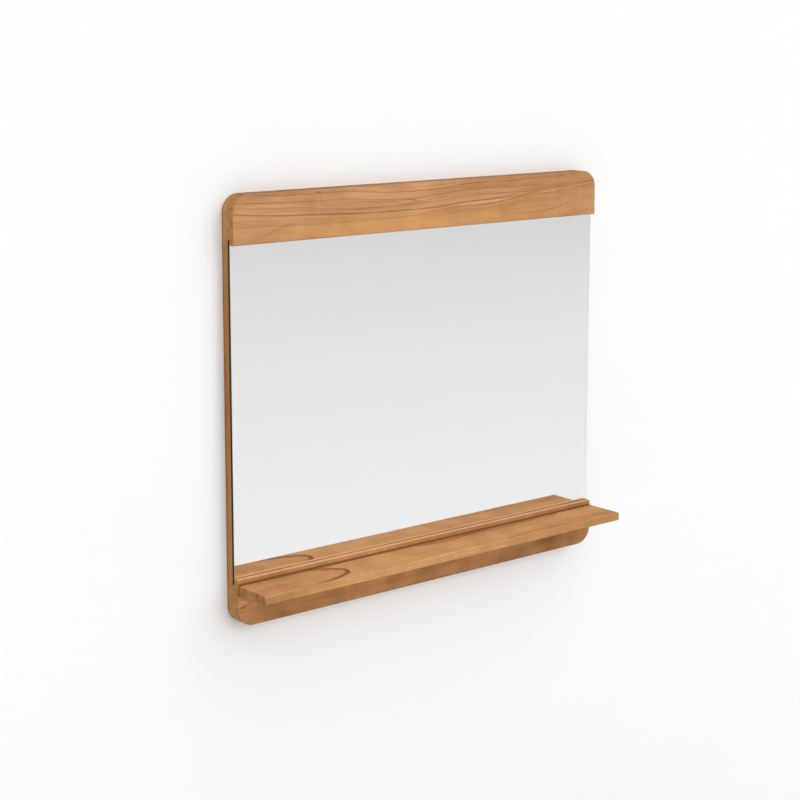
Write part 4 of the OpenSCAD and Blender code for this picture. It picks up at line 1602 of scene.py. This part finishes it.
def one_sided_paint(name, tint):
    """Paint on a wall that is open from behind, so that the back of the mirror can be seen."""
    finish = new_finish(name)
    paint = finish.node("ShaderNodeBsdfDiffuse", inputs={"Color": rgba(tint)})
    clear = finish.node("ShaderNodeBsdfTransparent")
    behind = finish.node("ShaderNodeNewGeometry", output="Backfacing")
    return finish.end(finish.node("ShaderNodeMixShader", inputs={0: behind, 1: paint, 2: clear}))


def light_the_room(scene, studio):
    """Soft light from the front, from above in front and from above on the right, with an even open
    background for the camera and the mirror.
    """
    finish = Finish(bpy.data.worlds.new("studio_light"))
    way = finish.coordinates("Generated")
    strength = 0.0
    for aim, tightness, weight in (
            ((0, -0.7, 0.7), 4.0, studio.key), ((0.6, -0.6, 0.55), 5.0, studio.side),
            ((0, -1, 0.15), 2.0, studio.fill)):
        towards = finish.vector("DOT_PRODUCT", way, Vector(aim).normalized(), output=1)
        lobe = finish.math("POWER", finish.math("MAXIMUM", towards, 0.0), tightness)
        strength = lobe * weight + strength
    light, open_room = (
        finish.node("ShaderNodeBackground", inputs={"Color": (1, 1, 1, 1), "Strength": power})
        for power in (strength, studio.backdrop))
    from_camera, glossy, bounces = (
        finish.node("ShaderNodeLightPath", output=kind)
        for kind in ("Is Camera Ray", "Is Glossy Ray", "Diffuse Depth"))
    mirrored = glossy * finish.math("LESS_THAN", bounces, 0.5)
    seen = finish.math("MAXIMUM", from_camera, mirrored)
    scene.world = finish.end(
        finish.node("ShaderNodeMixShader", inputs={0: seen, 1: light, 2: open_room}), "World")
    scene.view_settings.view_transform = "Standard"


def light_the_back(studio, wall):
    """Soft lamp behind the wall that shines through it onto the mirror's back."""
    deselect_all()
    bpy.ops.object.light_add(
        type="AREA", location=LAMP_PLACE, rotation=(-math.pi / 2 - LAMP_TILT, 0, 0))
    lamp = bpy.context.object
    lamp.name = lamp.data.name = "back_lamp"
    lamp.data.shape, lamp.data.size = "SQUARE", LAMP_SIDE
    lamp.data.energy = studio.back_light
    lamp.visible_camera = lamp.visible_glossy = False
    blockers = bpy.data.collections.new("back_lamp_blockers")
    receivers = bpy.data.collections.new("back_lamp_receivers")
    for collection in (blockers, receivers):
        collection.objects.link(wall)
        collection.collection_objects[0].light_linking.link_state = "EXCLUDE"
    lamp.light_linking.blocker_collection = blockers
    lamp.light_linking.receiver_collection = receivers


def place_camera(scene, studio):
    """Camera at the photograph's angle."""
    deselect_all()
    bpy.ops.object.camera_add(
        location=studio.camera_place,
        rotation=(math.pi / 2 - studio.camera_pitch, 0, -studio.camera_yaw))
    scene.camera = camera = bpy.context.object
    camera.name = camera.data.name = "camera"
    camera.data.sensor_width = 36  # mm, as for the lens
    camera.data.lens = studio.lens
    camera.data.shift_y = studio.camera_shift
    camera.data.clip_end = 100


# ---- add-on ----

OPERATORS = (
    MIRROR_OT_header_board, MIRROR_OT_lower_board, MIRROR_OT_shelf, MIRROR_OT_stiles,
    MIRROR_OT_glass, MIRROR_OT_glass_fixings, MIRROR_OT_back_panel, MIRROR_OT_hangers,
    MIRROR_OT_screws, MIRROR_OT_wall_pads, MIRROR_OT_studio,
)


class MIRROR_PT_panel(bpy.types.Panel):
    """Sidebar panel with the pieces and their settings"""

    bl_idname = "MIRROR_PT_panel"
    bl_label = "Wall mirror with a shelf"
    bl_space_type = "VIEW_3D"
    bl_region_type = "UI"
    bl_category = "Mirror"

    def draw(self, context):
        for operator in OPERATORS:
            self.layout.operator(operator.bl_idname)
        for name, group in GROUPS.items():
            box = self.layout.box()
            for field in group.__annotations__:
                box.prop(getattr(context.scene, name), field)


def register():
    for made in (*GROUPS.values(), *OPERATORS, MIRROR_PT_panel):
        bpy.utils.register_class(made)
    for name, group in GROUPS.items():
        setattr(bpy.types.Scene, name, PointerProperty(type=group))


def unregister():
    for name in GROUPS:
        delattr(bpy.types.Scene, name)
    for made in reversed((*GROUPS.values(), *OPERATORS, MIRROR_PT_panel)):
        bpy.utils.unregister_class(made)


def main():
    """Makes every piece and the studio."""
    register()
    for operator in OPERATORS:
        family, name = operator.bl_idname.split(".")
        getattr(getattr(bpy.ops, family), name)()


if __name__ == "__main__":
    main()
